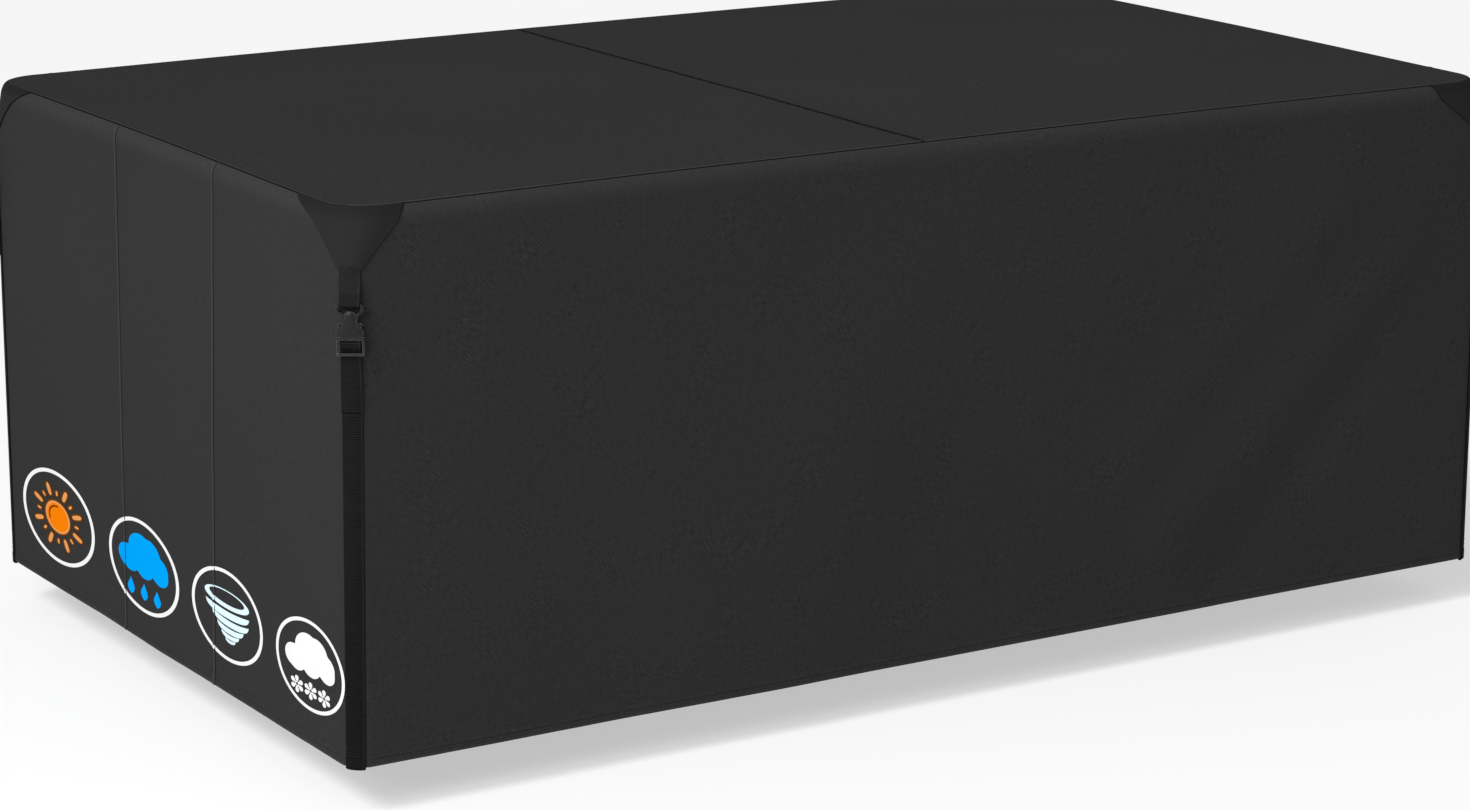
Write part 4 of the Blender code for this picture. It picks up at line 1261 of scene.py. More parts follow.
SOCKET_EDGE = (
    # half width, z from the buckle's top: the right-hand edge of the socket from its top down
    (0.0150, 0.0000), (0.0164, -0.0006), (0.0168, -0.0024), (0.0166, -0.0060), (0.0150, -0.0090),
    (0.0124, -0.0124), (0.0104, -0.0155), (0.0095, -0.0185), (0.0095, -0.0210), (0.0102, -0.0235),
    (0.0116, -0.0258), (0.0136, -0.0278), (0.0155, -0.0298), (0.0168, -0.0325), (0.0169, -0.0424),
)
SOCKET_SLOT = (
    # half width, z: the opening that the webbing passes, below the bar
    (0.0138, -0.0024), (0.0138, -0.0058), (0.0126, -0.0084), (0.0106, -0.0106), (0.0088, -0.0118),
    (0.0072, -0.0108), (0.0056, -0.0092), (0.0034, -0.0082), (0.0000, -0.0079),
)
BELL = (
    # z, half width, height of its crest off the wall: the domed middle of the socket
    (-0.0085, 0.0016, 0.0098), (-0.0095, 0.0036, 0.0108), (-0.0115, 0.0052, 0.0116),
    (-0.0150, 0.0063, 0.0121), (-0.0195, 0.0070, 0.0124), (-0.0235, 0.0078, 0.0124),
    (-0.0275, 0.0092, 0.0122), (-0.0315, 0.0116, 0.0119), (-0.0350, 0.0136, 0.0116),
    (-0.0385, 0.0146, 0.0113), (-0.0412, 0.0148, 0.0110),
)
PRONG = (
    # x, z: round the outline of the right-hand prong
    (0.0132, -0.0440), (0.0132, -0.0300), (0.0146, -0.0280), (0.0150, -0.0258), (0.0142, -0.0236),
    (0.0128, -0.0226), (0.0112, -0.0234), (0.0102, -0.0264), (0.0098, -0.0330), (0.0094, -0.0440),
)
SOCKET_BACK, SOCKET_FRONT = 0.0016, 0.0104
CAVITY_HALF, CAVITY_TOP, CAVITY_BACK, CAVITY_FRONT = 0.0142, -0.0220, 0.0036, 0.0086
MOUTH_HALF, MOUTH_Z = 0.0168, -0.0424
PLUG_FOOT, PLUG_SLOT_TOP, PLUG_SLOT_FOOT, PLUG_BAR = -0.0640, -0.0445, -0.0612, -0.0485
PLUG_BACK, PLUG_FRONT, RAIL = 0.0036, 0.0080, 0.0019
# how far cutters reach past what they cut; then the raised edge of the mouth, the dome, the plug's
# guide and neck, and the ledge to grip it by
CUT_PAST, BAR_FOOT, BAR_PLAY = 0.001, -0.0024, 0.0013
MOUTH_LIP_HALF, MOUTH_LIP_TOP, MOUTH_LIP_FOOT, MOUTH_LIP_RISE = 0.0174, -0.0400, -0.0421, 0.0004
BELL_STEPS, BELL_ROUND, BELL_SINK, BELL_ROOT = 14, 0.7, 0.0012, 0.002
GUIDE_HALF, GUIDE_TOP, NECK_INSET, NECK_STEP = 0.0022, -0.0240, 0.001, 0.0004
GRIP_INSET, GRIP_TOP, GRIP_FOOT, GRIP_SINK, GRIP_RISE = 0.0012, 0.0002, 0.0006, 0.001, 0.0012
SOCKET_ROUND, PLUG_ROUND, MERGE = 0.00085, 0.0007, 0.00001


def prism(outline, back, front):
    """A plain solid between two heights off the wall, from an outline of (x, z) points."""
    shape = bmesh.new()
    near = [shape.verts.new((x, -front, z)) for x, z in outline]
    far = [shape.verts.new((x, -back, z)) for x, z in outline]
    shape.faces.new(near)
    shape.faces.new(far[::-1])
    for i, k in zip(range(len(outline)), [*range(1, len(outline)), 0]):
        shape.faces.new((near[i], far[i], far[k], near[k]))
    return shape_object(shape)


def shape_object(shape):
    """A working object of a bmesh, with its faces pointing out."""
    bmesh.ops.recalc_face_normals(shape, faces=shape.faces)
    return linked("shape", mesh_of("shape", shape))


def slab(half, top, foot):
    """A rectangle's outline about the middle."""
    return [(-half, top), (-half, foot), (half, foot), (half, top)]


def both_sides(edge):
    """A closed outline from its right-hand edge."""
    return list(edge) + [(-x, z) for x, z in reversed(edge) if x > 0.0]


def joined(base, operation, others):
    """Add or cut working objects by Booleans, and keep the result as the first."""
    for other in others:
        change = base.modifiers.new("shape", "BOOLEAN")
        change.operation = operation
        change.object = other
        change.solver = "EXACT"
    keep_shape(base)
    for other in others:
        bpy.data.objects.remove(other, do_unlink=True)
    return base


def keep_shape(thing):
    """Turn an object's modifiers into its mesh."""
    bpy.context.view_layer.update()
    ready = thing.evaluated_get(bpy.context.evaluated_depsgraph_get())
    mesh = bpy.data.meshes.new_from_object(ready)
    thing.modifiers.clear()
    thing.data = mesh


def rounded(thing, width):
    """Round an object's edges, shade it smooth and return its mesh alone."""
    shape = bmesh.new()
    shape.from_mesh(thing.data)
    bmesh.ops.remove_doubles(shape, verts=shape.verts, dist=MERGE)
    bmesh.ops.dissolve_limit(shape, angle_limit=math.radians(1.0), verts=shape.verts, edges=shape.edges)
    shape.to_mesh(thing.data)
    shape.free()
    change = thing.modifiers.new("edges", "BEVEL")
    change.width = width
    change.segments = 3
    change.limit_method = "ANGLE"
    change.angle_limit = math.radians(35.0)
    change.use_clamp_overlap = True
    change.material = 1
    thing.data.materials.append(None)
    thing.data.materials.append(None)
    keep_shape(thing)
    mesh = thing.data
    # the bevel's faces are marked for the painted highlight of the plastic finish
    add_mark(mesh, "rim", [float(face.material_index == 1) for face in mesh.polygons], "FACE")
    mesh.polygons.foreach_set("material_index", [0] * len(mesh.polygons))
    shade_round(mesh, 40.0)
    bpy.data.objects.remove(thing, do_unlink=True)
    return mesh


def bell_dome():
    """The domed middle of the socket, as a loft of half-round sections."""
    shape = bmesh.new()
    low = SOCKET_FRONT - BELL_SINK
    root = SOCKET_FRONT - BELL_ROOT
    rings = []
    for z, half, crest in BELL:
        ring = []
        for i in range(BELL_STEPS + 1):
            angle = math.pi * i / BELL_STEPS
            lift = (crest - low) * math.sin(angle) ** BELL_ROUND + low
            ring.append(shape.verts.new((half * math.cos(angle), -lift, z)))
        ring += [shape.verts.new((x, -root, z)) for x in (-half, half)]
        rings.append(ring)
    count = len(rings[0])
    for one, two in zip(rings, rings[1:]):
        for i, k in zip(range(count), [*range(1, count), 0]):
            shape.faces.new((one[i], two[i], two[k], one[k]))
    shape.faces.new(rings[0])
    shape.faces.new(rings[-1][::-1])
    return shape_object(shape)


def socket_mesh():
    """The buckle's socket: bar, slot, bell-shaped body and the hollow for the prongs."""
    body = prism(both_sides(SOCKET_EDGE), SOCKET_BACK, SOCKET_FRONT)
    cut_back, cut_front = SOCKET_BACK - CUT_PAST, SOCKET_FRONT + CUT_PAST
    slot = prism(both_sides(SOCKET_SLOT), cut_back, cut_front)
    over_bar = slab(WEB_HALF_WIDTH + BAR_PLAY, CUT_PAST, BAR_FOOT - GAP)
    behind = prism(over_bar, cut_back, BAR_HEIGHT - BAR_HALF)
    before = prism(over_bar, BAR_HEIGHT + BAR_HALF, cut_front)
    body = joined(body, "DIFFERENCE", [slot, behind, before])
    edge = slab(MOUTH_LIP_HALF, MOUTH_LIP_TOP, MOUTH_LIP_FOOT)
    lip = prism(edge, SOCKET_BACK + MOUTH_LIP_RISE, SOCKET_FRONT + MOUTH_LIP_RISE)
    body = joined(body, "UNION", [bell_dome(), lip])
    hollow = prism(slab(CAVITY_HALF, CAVITY_TOP, MOUTH_Z - CUT_PAST), CAVITY_BACK, CAVITY_FRONT)
    return rounded(joined(body, "DIFFERENCE", [hollow]), SOCKET_ROUND)


def plug_mesh():
    """The buckle's plug: prongs, guide, and a frame with the bar that the webbing goes round."""
    body = prism(slab(MOUTH_HALF, MOUTH_Z - GAP, PLUG_FOOT), PLUG_BACK, PLUG_FRONT)
    inner, back, front = MOUTH_HALF - RAIL, CAVITY_BACK + GAP, CAVITY_FRONT - GAP
    window = prism(slab(inner, PLUG_SLOT_TOP, PLUG_SLOT_FOOT), PLUG_BACK - CUT_PAST, PLUG_FRONT + CUT_PAST)
    body = joined(body, "DIFFERENCE", [window])
    across_bar = slab(inner + CUT_PAST, PLUG_BAR + BAR_HALF, PLUG_BAR - BAR_HALF)
    bar = prism(across_bar, BAR_HEIGHT - BAR_HALF, BAR_HEIGHT + BAR_HALF)
    prongs = [prism(PRONG, back, front), prism([(-x, z) for x, z in PRONG[::-1]], back, front)]
    guide = prism(slab(GUIDE_HALF, GUIDE_TOP, MOUTH_Z - CUT_PAST), back, front)
    across_neck = slab(MOUTH_HALF - NECK_INSET, MOUTH_Z - 2 * GAP, MOUTH_Z - CUT_PAST)
    neck = prism(across_neck, back, PLUG_FRONT - NECK_STEP)
    ledge = slab(MOUTH_HALF - GRIP_INSET, PLUG_SLOT_FOOT + GRIP_TOP, PLUG_FOOT + GRIP_FOOT)
    grip = prism(ledge, PLUG_FRONT - GRIP_SINK, PLUG_FRONT + GRIP_RISE)
    return rounded(joined(body, "UNION", [neck, bar, *prongs, guide, grip]), PLUG_ROUND)


# -------- printed signs

SIGNS = (
    # name, middle y, middle z, half width, half height
    ("sun", 0.3643, -0.6035, 0.1262, 0.0672),
    ("rain", 0.0665, -0.6022, 0.1204, 0.0648),
    ("wind", -0.2019, -0.6019, 0.1084, 0.0619),
    ("snow", -0.4483, -0.6033, 0.0960, 0.0600),
)
RING_INNER = 0.923
PRINT_RISE, PRINT_THICK = 0.00028, 0.00012
PRINT_TURN = 1.61
INK_STEP_Y, INK_STEP_Z, CUT_NEAR = 0.006, 0.012, 0.000001
CLOUD_LOBES = (
    # x, y, radius
    (-0.46, 0.06, 0.25), (-0.05, 0.32, 0.36), (0.19, 0.33, 0.33), (0.44, 0.13, 0.28),
    (-0.36, 0.00, 0.24), (0.04, 0.02, 0.27), (0.49, 0.02, 0.23),
)
CLOUD_HEART, CLOUD_STEPS = (0.02, 0.14), 96
SUN_HEART, SUN_ARC, SUN_DISC, SUN_RIM, SUN_EDGE = 0.212, 0.250, 0.295, 0.340, 0.375
SUN_ARC_FROM, SUN_ARC_TO = 85, 205
LONG_RAY, SHORT_RAY = (0.445, 0.71, 0.048), (0.465, 0.575, 0.026)
RAYS = [(22.5 + 45 * k, *LONG_RAY) for k in range(8)] + [(45 * k, *SHORT_RAY) for k in range(8)]
RAY_SHAPE = (
    # share of the ray's length, share of its half width there
    (0.0, 0.0), (0.06, 0.6), (0.2, 0.9), (0.6, 1.0), (0.85, 0.85), (0.95, 0.5), (1.0, 0.0),
)
RAY_EDGE_NEAR, RAY_EDGE_FAR, RAY_EDGE_SIDE = 0.022, 0.026, 0.032
DROPS = ((-0.37, -0.57), (0.01, -0.56), (0.39, -0.55))
DROP_TOP, DROP_LENGTH, DROP_HALF_WIDTH, DROP_STEPS = 0.190, 0.370, 0.118, 14
FLAKES = ((-0.39, -0.56), (0.00, -0.56), (0.39, -0.56))
PETAL = (
    # distance from the flake's middle, half width
    (0.030, 0.016), (0.070, 0.024), (0.105, 0.044), (0.140, 0.052), (0.168, 0.042), (0.188, 0.014),
)
OVAL_OUTER, OVAL_INNER = (0.0, 0.355, 0.62, 0.200), (0.0, 0.390, 0.49, 0.140)
BAND_STEPS = 36
BANDS = (
    # middle x, y of the ends, half width, sag, thickness in the middle
    (0.01, 0.170, 0.61, 0.15, 0.150),
    (0.10, -0.015, 0.50, 0.15, 0.135),
    (0.08, -0.200, 0.37, 0.13, 0.115),
    (0.07, -0.360, 0.25, 0.10, 0.090),
    (0.07, -0.490, 0.14, 0.07, 0.065),
)


def arc_points(x, y, across, up, start, stop, count):
    """Points of an ellipse's arc, in degrees."""
    angles = [math.radians(start + (stop - start) * i / count) for i in range(count + 1)]
    return [(x + across * math.cos(a), y + up * math.sin(a)) for a in angles]


def stripe(outer, inner):
    """The faces between two rows of points."""
    return [list(quad) for quad in zip(outer, outer[1:], inner[1:], inner)]


def round_band(outer, inner, start=0, stop=360, count=64):
    """A round band between two radii, from one angle to another in degrees."""
    edges = [arc_points(0, 0, radius, radius, start, stop, count) for radius in (outer, inner)]
    return stripe(*edges)


def disc(x, y, radius, count=48):
    """A filled round shape, as a fan of triangles."""
    rim = arc_points(x, y, radius, radius, 0, 360, count)
    return [[(x, y), a, b] for a, b in zip(rim, rim[1:])]


def cloud():
    """A filled cloud: the outline of overlapping lobes, seen from its middle."""
    cx, cy = CLOUD_HEART
    rim = []
    for i in range(CLOUD_STEPS + 1):
        angle = 2 * math.pi * i / CLOUD_STEPS
        dx, dy = math.cos(angle), math.sin(angle)
        reach = 0.0
        for x, y, radius in CLOUD_LOBES:
            along = (x - cx) * dx + (y - cy) * dy
            aside = abs((x - cx) * dy - (y - cy) * dx)
            if aside < radius:
                reach = max(reach, along + math.sqrt(radius ** 2 - aside ** 2))
        rim.append((cx + reach * dx, cy + reach * dy))
    return [[(cx, cy), a, b] for a, b in zip(rim, rim[1:])]


def ray_sides(angle, near, far, half):
    """The two edges of a round-ended ray from one distance to another."""
    dx, dy = math.cos(math.radians(angle)), math.sin(math.radians(angle))
    sides = ([], [])
    for place, width in RAY_SHAPE:
        reach = near + (far - near) * place
        for side, away in zip(sides, (half * width, -half * width)):
            side.append((reach * dx - away * dy, reach * dy + away * dx))
    return sides


def sun_disc():
    """The middle of the sun, with a thin open arc left out of it."""
    shapes = round_band(SUN_DISC, SUN_ARC)
    shapes += round_band(SUN_ARC, SUN_HEART, SUN_ARC_TO - 360, SUN_ARC_FROM, 48)
    return shapes + disc(0.0, 0.0, SUN_HEART)


def sun_rim():
    """The paler rim of the sun, with eight long and eight short rays round it."""
    shapes = round_band(SUN_RIM, SUN_DISC)
    for ray in RAYS:
        shapes += stripe(*ray_sides(*ray))
    return shapes


def sun_edges():
    """The dark edges round the sun's rim and its rays, and the arc in its middle."""
    shapes = round_band(SUN_EDGE, SUN_RIM)
    shapes += round_band(SUN_ARC, SUN_HEART, SUN_ARC_FROM, SUN_ARC_TO, 24)
    for angle, near, far, half in RAYS:
        wide = ray_sides(angle, near - RAY_EDGE_NEAR, far + RAY_EDGE_FAR, half + RAY_EDGE_SIDE)
        for outer, inner in zip(wide, ray_sides(angle, near, far, half)):
            shapes += stripe(outer, inner)
    return shapes


def drops():
    """Three rain drops with pointed tops."""
    shapes = []
    for x, y in DROPS:
        left, right = [], []
        for i in range(DROP_STEPS + 1):
            t = i / DROP_STEPS
            swell = math.sin(math.pi * t) ** 0.9 * (0.30 + 0.95 * t) if 0 < t < 1 else 0.0
            width = DROP_HALF_WIDTH * swell
            level = y + DROP_TOP - DROP_LENGTH * t
            left.append((x - width, level))
            right.append((x + width, level))
        shapes += stripe(left, right)
    return shapes


def flakes():
    """Three snow flakes of six round-ended petals."""
    shapes = []
    for x, y in FLAKES:
        for k in range(6):
            turn = math.radians(30 + 60 * k)
            dx, dy = math.cos(turn), math.sin(turn)
            left = [(x + dx * reach - dy * half, y + dy * reach + dx * half) for reach, half in PETAL]
            right = [(x + dx * reach + dy * half, y + dy * reach - dx * half) for reach, half in PETAL]
            shapes += stripe(left, right)
    return shapes


def whirlwind():
    """The whirlwind: an open oval over a stack of curved bands that narrows downwards."""
    shapes = stripe(arc_points(*OVAL_OUTER, 0, 360, 72), arc_points(*OVAL_INNER, 0, 360, 72))
    for x, y, half, sag, thick in BANDS:
        upper, lower = [], []
        for i in range(BAND_STEPS + 1):
            t = -1.0 + 2.0 * i / BAND_STEPS
            middle = y - sag * math.sqrt(max(1.0 - t * t, 0.0))
            width = thick / 2 * math.sqrt(max(1.0 - t ** 6, 0.0))
            upper.append((x + half * t, middle + width))
            lower.append((x + half * t, middle - width))
        shapes += stripe(upper, lower)
    return shapes


def ring():
    """The round frame of a sign."""
    return round_band(1, RING_INNER, count=120)


def print_place(y, z):
    """Where a point of a sign lies on the cloth: flat on the end wall, then round the corner."""
    past = WALL_CORNER_RADIUS - HALF_WIDTH - y
    if past <= 0.0:
        return wall_point("left", y, 0.0, -z) + Vector((-PRINT_RISE, 0.0, 0.0))
    low, high = 0.0, math.radians(45.0)
    for _ in range(24):
        angle = (low + high) / 2
        reach = WALL_CORNER_RADIUS * (math.sin(angle) + PRINT_TURN * (1.0 - math.cos(angle)))
        low, high = (angle, high) if reach < past else (low, angle)
    return corner_point(-1, -1, low, -PRINT_RISE, -z)


def sign_cuts(sign, low_y, high_y):
    """Planes that cut a flat sign so that it can follow the cloth: a grid, and the seams' rows."""
    _, _, middle_z, _, up = sign
    cuts = [((y, 0.0, 0.0), (1.0, 0.0, 0.0)) for y in spread(low_y, high_y, INK_STEP_Y)[1:-1]]
    heights = spread(middle_z - up, middle_z + up, INK_STEP_Z)[1:-1]
    cuts += [((0.0, z, 0.0), (0.0, 1.0, 0.0)) for z in heights]
    for seam in END_SEAMS:
        slope = (seam[1] - seam[0]) / HEIGHT
        for away in [row[0] for row in SEAM_RIDGE] + [-row[0] for row in SEAM_GROOVE[1:]]:
            place = seam_place(seam, -middle_z) + away
            if low_y < place < high_y:
                cuts.append(((place, middle_z, 0.0), (1.0, slope, 0.0)))
    return cuts


def in_groove(face):
    """Whether a face of a flat sign lies in the groove of a seam, where no ink reaches."""
    y, z, _ = face.calc_center_median()
    return any(-SEAM_GROOVE[1][0] < y - seam_place(seam, -z) < 0.0 for seam in END_SEAMS)


def flat_sign(shapes, sign):
    """The shapes of a sign as one flat bmesh of (y, z), cut for the cloth, with its map."""
    _, middle_y, middle_z, across, up = sign
    shape = bmesh.new()
    for outline in shapes:
        points = [shape.verts.new((middle_y - x * across, middle_z + y * up, 0.0)) for x, y in outline]
        shape.faces.new(points)
    bmesh.ops.remove_doubles(shape, verts=shape.verts, dist=2 * MERGE)
    bmesh.ops.triangulate(shape, faces=shape.faces)
    ys = [vert.co.x for vert in shape.verts]
    for place, normal in sign_cuts(sign, min(ys), max(ys)):
        everything = shape.verts[:] + shape.edges[:] + shape.faces[:]
        bmesh.ops.bisect_plane(shape, geom=everything, plane_co=place, plane_no=normal, dist=CUT_NEAR)
    gone = [face for face in shape.faces if in_groove(face)]
    bmesh.ops.delete(shape, geom=gone, context="FACES")
    bmesh.ops.triangulate(shape, faces=shape.faces)
    map_layer = shape.loops.layers.uv.new("weave")
    for face in shape.faces:
        for corner in face.loops:
            corner[map_layer].uv = (-corner.vert.co.x, corner.vert.co.y)
    return shape


def printed(name, shapes, sign, slot, ink=None):
    """Lay flat shapes of a sign on the end wall as a thin layer of ink that follows the cloth."""
    shape = flat_sign(shapes, sign)
    for vert in shape.verts:
        vert.co = print_place(vert.co.x, vert.co.y)
    for face in shape.faces:
        face.normal_update()
        if face.normal.x > 0.0:
            face.normal_flip()
    holder = linked("holder", mesh_of(name, shape))
    change = holder.modifiers.new("ink", "SOLIDIFY")
    change.thickness = PRINT_THICK
    change.offset = -1.0
    keep_shape(holder)
    mesh = holder.data
    bpy.data.objects.remove(holder, do_unlink=True)
    shade_round(mesh, 50.0)
    place_piece(name, mesh, slot, ink=ink)


# -------- sewing lines

# where the rows of stitches lie, from seams, edges and corners, and the steps of their lines
THREAD_LIFT, WALL_STEP, TOP_STEP, BESIDE_SEAM = 0.1, 0.004, 0.006, 0.0036
HEM_ROWS, HEM_CORNER, HEM_BREAK = (0.0096, 0.0175), 0.034, 0.008
SEAM_ROW_TOP, SEAM_ROW_FOOT = 0.012, 0.014
LIP_ROW, LIP_ROW_BREAK, TOP_ROW_END = 0.0021, 0.008, 0.008
GUSSET_ROW, GUSSET_ROW_HEIGHT, GUSSET_ROW_SINK, GUSSET_ROW_STEP = 0.0037, 0.0019, 0.3, 0.003
GUSSET_ROW_TOP, GUSSET_ROW_FOOT, TIP_ROW, TIP_ROW_END, TIP_STEP = 0.006, 0.002, 0.0045, 0.0035, 0.002
FACING_ALONG, FACING_DOWN, FACING_UP = 0.002, 0.004, 0.2
STRAP_ROWS, STRAP_ROW_SHARE, SHARE_STEP, RIB_CLEAR = (0.019, 0.026), 0.84, 0.12, 0.0004
STRAP_STITCH = 0.55


def line_mesh(lines):
    """A mesh of open lines of (point, facing), for the stitching."""
    points, edges, facing = [], [], []
    for line in lines:
        first = len(points)
        points += [tuple(point) for point, _ in line]
        facing += [tuple(normal) for _, normal in line]
        edges += [(first + i, first + i + 1) for i in range(len(line) - 1)]
    mesh = bpy.data.meshes.new("lines")
    mesh.from_pydata(points, edges, [])
    layer = mesh.attributes.new("facing", "FLOAT_VECTOR", "POINT")
    layer.data.foreach_set("vector", [value for normal in facing for value in normal])
    return mesh


def on_hem(wall, along, height, lift):
    """A point and facing on the hem of a wall, at a height over its edge."""
    inset = read_profile([(row[1], row[0]) for row in HEM[::-1]], height)
    facing = Vector({"front": (0, -1, 0), "back": (0, 1, 0), "left": (-1, 0, 0), "right": (1, 0, 0)}[wall])
    return wall_point(wall, along, inset, HEIGHT - height) + facing * lift, facing


def hem_lines(thread):
    """The rows of stitches along the hem: one on the long walls, two on the ends."""
    lines = []
    for wall, half, heights in (
        ("front", HALF_LENGTH, HEM_ROWS[:1]), ("back", HALF_LENGTH, HEM_ROWS[:1]),
        ("left", HALF_WIDTH, HEM_ROWS), ("right", HALF_WIDTH, HEM_ROWS),
    ):
        reach = half - HEM_CORNER
        for height in heights:
            stops = [reach]
            for seam in END_SEAMS if wall in ("left", "right") else ():
                stops += [seam_place(seam, HEIGHT - height) + away for away in (HEM_BREAK, -HEM_BREAK / 2)]
            stops.append(-reach)
            for start, stop in zip(stops[::2], stops[1::2]):
                places = spread(start, stop, WALL_STEP)
                lines.append([on_hem(wall, place, height, THREAD_LIFT * thread) for place in places])
    return lines


def end_seam_lines(thread):
    """The row of stitches that holds down each upright seam of the end walls."""
    lines = []
    for wall, side in (("left", -1), ("right", 1)):
        facing = Vector((side, 0, 0))
        for seam in END_SEAMS:
            line = []
            for depth in spread(SEAM_ROW_TOP, HEIGHT - SEAM_ROW_FOOT, WALL_STEP):
                point = wall_point(wall, seam_place(seam, depth) + BESIDE_SEAM, 0.0, depth)
                point.x -= side * shoulder_inset(depth)
                line.append((point + facing * (THREAD_LIFT * thread), facing))
            lines.append(line)
    return lines


def on_top(x, y, thread):
    """A point and facing on the top."""
    return Vector((x, y, top_heights(x, y)[0] + THREAD_LIFT * thread)), Vector((0, 0, 1))


def top_lines(thread):
    """The row of stitches on the lip round the top, and the row beside the top's own seam."""
    lines = []
    radius = TOP_CORNER_RADIUS - LIP_ROW
    side_y, low = TOP_HALF_WIDTH - LIP_ROW, TOP_CORNER_RADIUS - TOP_HALF_WIDTH
    turns = [(math.sin(angle), math.cos(angle)) for angle in corner_angles(0, 90, 16)]
    for x_side in (-1, 1):
        first = TOP_SEAM_X + x_side * LIP_ROW_BREAK
        start = x_side * (TOP_HALF_LENGTH - TOP_CORNER_RADIUS)
        loop = [(x, -side_y) for x in spread(first, start, TOP_STEP)]
        loop += [(start + x_side * radius * out, low - radius * up) for out, up in turns[1:]]
        loop += [(loop[-1][0], y) for y in spread(low, -low, TOP_STEP)[1:]]
        loop += [(start + x_side * radius * out, -low + radius * up) for out, up in turns[-2::-1]]
        loop += [(x, side_y) for x in spread(start, first, TOP_STEP)[1:]]
        lines.append([on_top(x, y, thread) for x, y in loop])
    reach = TOP_HALF_WIDTH - TOP_ROW_END
    lines.append([on_top(TOP_SEAM_X + BESIDE_SEAM, y, thread) for y in spread(-reach, reach, TOP_STEP)])
    return lines


def gusset_lines(corner, thread):
    """The rows of stitches inside a gusset's edges and across its tip."""
    lift = GUSSET_ROW_HEIGHT - GUSSET_ROW_SINK * thread
    down_end, down_side = [], []
    for depth in spread(GUSSET_ROW_TOP, GUSSET_TIP_DEPTH - GUSSET_ROW_FOOT, GUSSET_ROW_STEP):
        end, side = gusset_reach(corner, depth)
        down_end.append(on_gusset(corner, end - GUSSET_ROW, depth, lift))
        down_side.append(on_gusset(corner, GUSSET_ROW - side, depth, lift))
    depth = GUSSET_TIP_DEPTH - TIP_ROW
    end, side = gusset_reach(corner, depth)
    places = spread(TIP_ROW_END - side, end - TIP_ROW_END, TIP_STEP)
    return [down_end, down_side, [on_gusset(corner, place, depth, lift) for place in places]]


def on_gusset(corner, place, depth, lift):
    """A point and facing on a gusset."""
    x_side, y_side = corner[1:3]
    lower = depth + FACING_DOWN
    here = from_corner(x_side, y_side, place, shoulder_inset(depth), depth)
    ahead = from_corner(x_side, y_side, place + FACING_ALONG, shoulder_inset(depth), depth)
    below = from_corner(x_side, y_side, place, shoulder_inset(lower), lower)
    normal = (ahead - here).cross(below - here).normalized()
    if normal.dot(Vector((x_side, y_side, FACING_UP))) < 0:
        normal = -normal
    return here + normal * lift, normal


def strap_lines(corner, thread):
    """The short rows of stitches across a strap where the hem is sewn down over it."""
    lines = []
    height = WEB_THICK + GAP + RIB_CLEAR + THREAD_LIFT * thread
    for over_hem in STRAP_ROWS:
        z = over_hem - HEIGHT
        centre = strap_frame(corner, z)[0] + Vector((0.0, 0.0, z))
        places = [WEB_HALF_WIDTH * share for share in spread(-STRAP_ROW_SHARE, STRAP_ROW_SHARE, SHARE_STEP)]
        points = [band_point(corner, height, z, 0.0, place) for place in places]
        lines.append([(point, (point - centre).normalized()) for point in points])
    return lines


# -------- operators

class CoverPiece:
    """Shared by the operators that make the cover's pieces."""

    bl_options = {"REGISTER", "UNDO"}


class COVER_OT_sew_top(CoverPiece, bpy.types.Operator):
    """Sew the two widths of the top, with the raised lip round its edge"""

    bl_idname = "cover.sew_top"
    bl_label = "Top"

    def execute(self, context):
        for side, node, length in ((-1, "top_left", 0.875), (1, "top_right", 0.985)):
            mesh = top_half(side)
            piece = place_piece(mesh.name, mesh, "cover_cloth", node)
        return {"FINISHED"}


class COVER_OT_sew_long_walls(CoverPiece, bpy.types.Operator):
    """Sew the front and back walls, with their soft folds and hem"""

    bl_idname = "cover.sew_long_walls"
    bl_label = "Long Walls"

    def execute(self, context):
        for wall in ("front", "back"):
            mesh = long_wall(wall)
            piece = place_piece(mesh.name, mesh, "cover_cloth", f"wall_{wall}")
        return {"FINISHED"}


class COVER_OT_sew_end_walls(CoverPiece, bpy.types.Operator):
    """Sew the three strips of each end wall, joined by raised upright seams"""

    bl_idname = "cover.sew_end_walls"
    bl_label = "End Walls"

    def execute(self, context):
        for wall in ("left", "right"):
            for number, (part, width) in enumerate(zip(STRIPS, (0.455, 0.332, 0.390))):
                mesh = end_panel(wall, number)
                piece = place_piece(mesh.name, mesh, "cover_cloth", f"end_{wall}_{part}")
        return {"FINISHED"}


class COVER_OT_sew_gussets(CoverPiece, bpy.types.Operator):
    """Sew the smooth gusset over each top corner"""

    bl_idname = "cover.sew_gussets"
    bl_label = "Gussets"

    def execute(self, context):
        for corner in CORNERS:
            place = corner[0]
            mesh = gusset(f"corner_gusset_{place}", corner)
            piece = place_piece(mesh.name, mesh, "gusset_cloth", f"gusset_{place}")
        return {"FINISHED"}


class COVER_OT_thread_webbing(CoverPiece, bpy.types.Operator):
    """Thread the short and the long ribbed webbing of each corner"""

    bl_idname = "cover.thread_webbing"
    bl_label = "Webbing"

    def execute(self, context):
        webbing = context.scene.cover_webbing
        tree = rib_tree()
        for corner in CORNERS:
            place = corner[0]
            for kind, path, pitch, weave, length in (
                ("upper", short_path(), webbing.short_pitch, SHORT_WEAVE, 0.075),
                ("lower", long_path(), webbing.strap_pitch, LONG_WEAVE, 0.645),
            ):
                name = f"webbing_{kind}_{place}"
                mesh = strap_mesh(name, corner, path, pitch / 5)
                shaped = bake_tree(mesh, tree, {
                    "Pitch": pitch, "Rise": webbing.rise, "Material": finish("strap_webbing"), **weave,
                })
                piece = place_piece(name, shaped, "strap_webbing", f"web_{kind}_{place}")
        return {"FINISHED"}


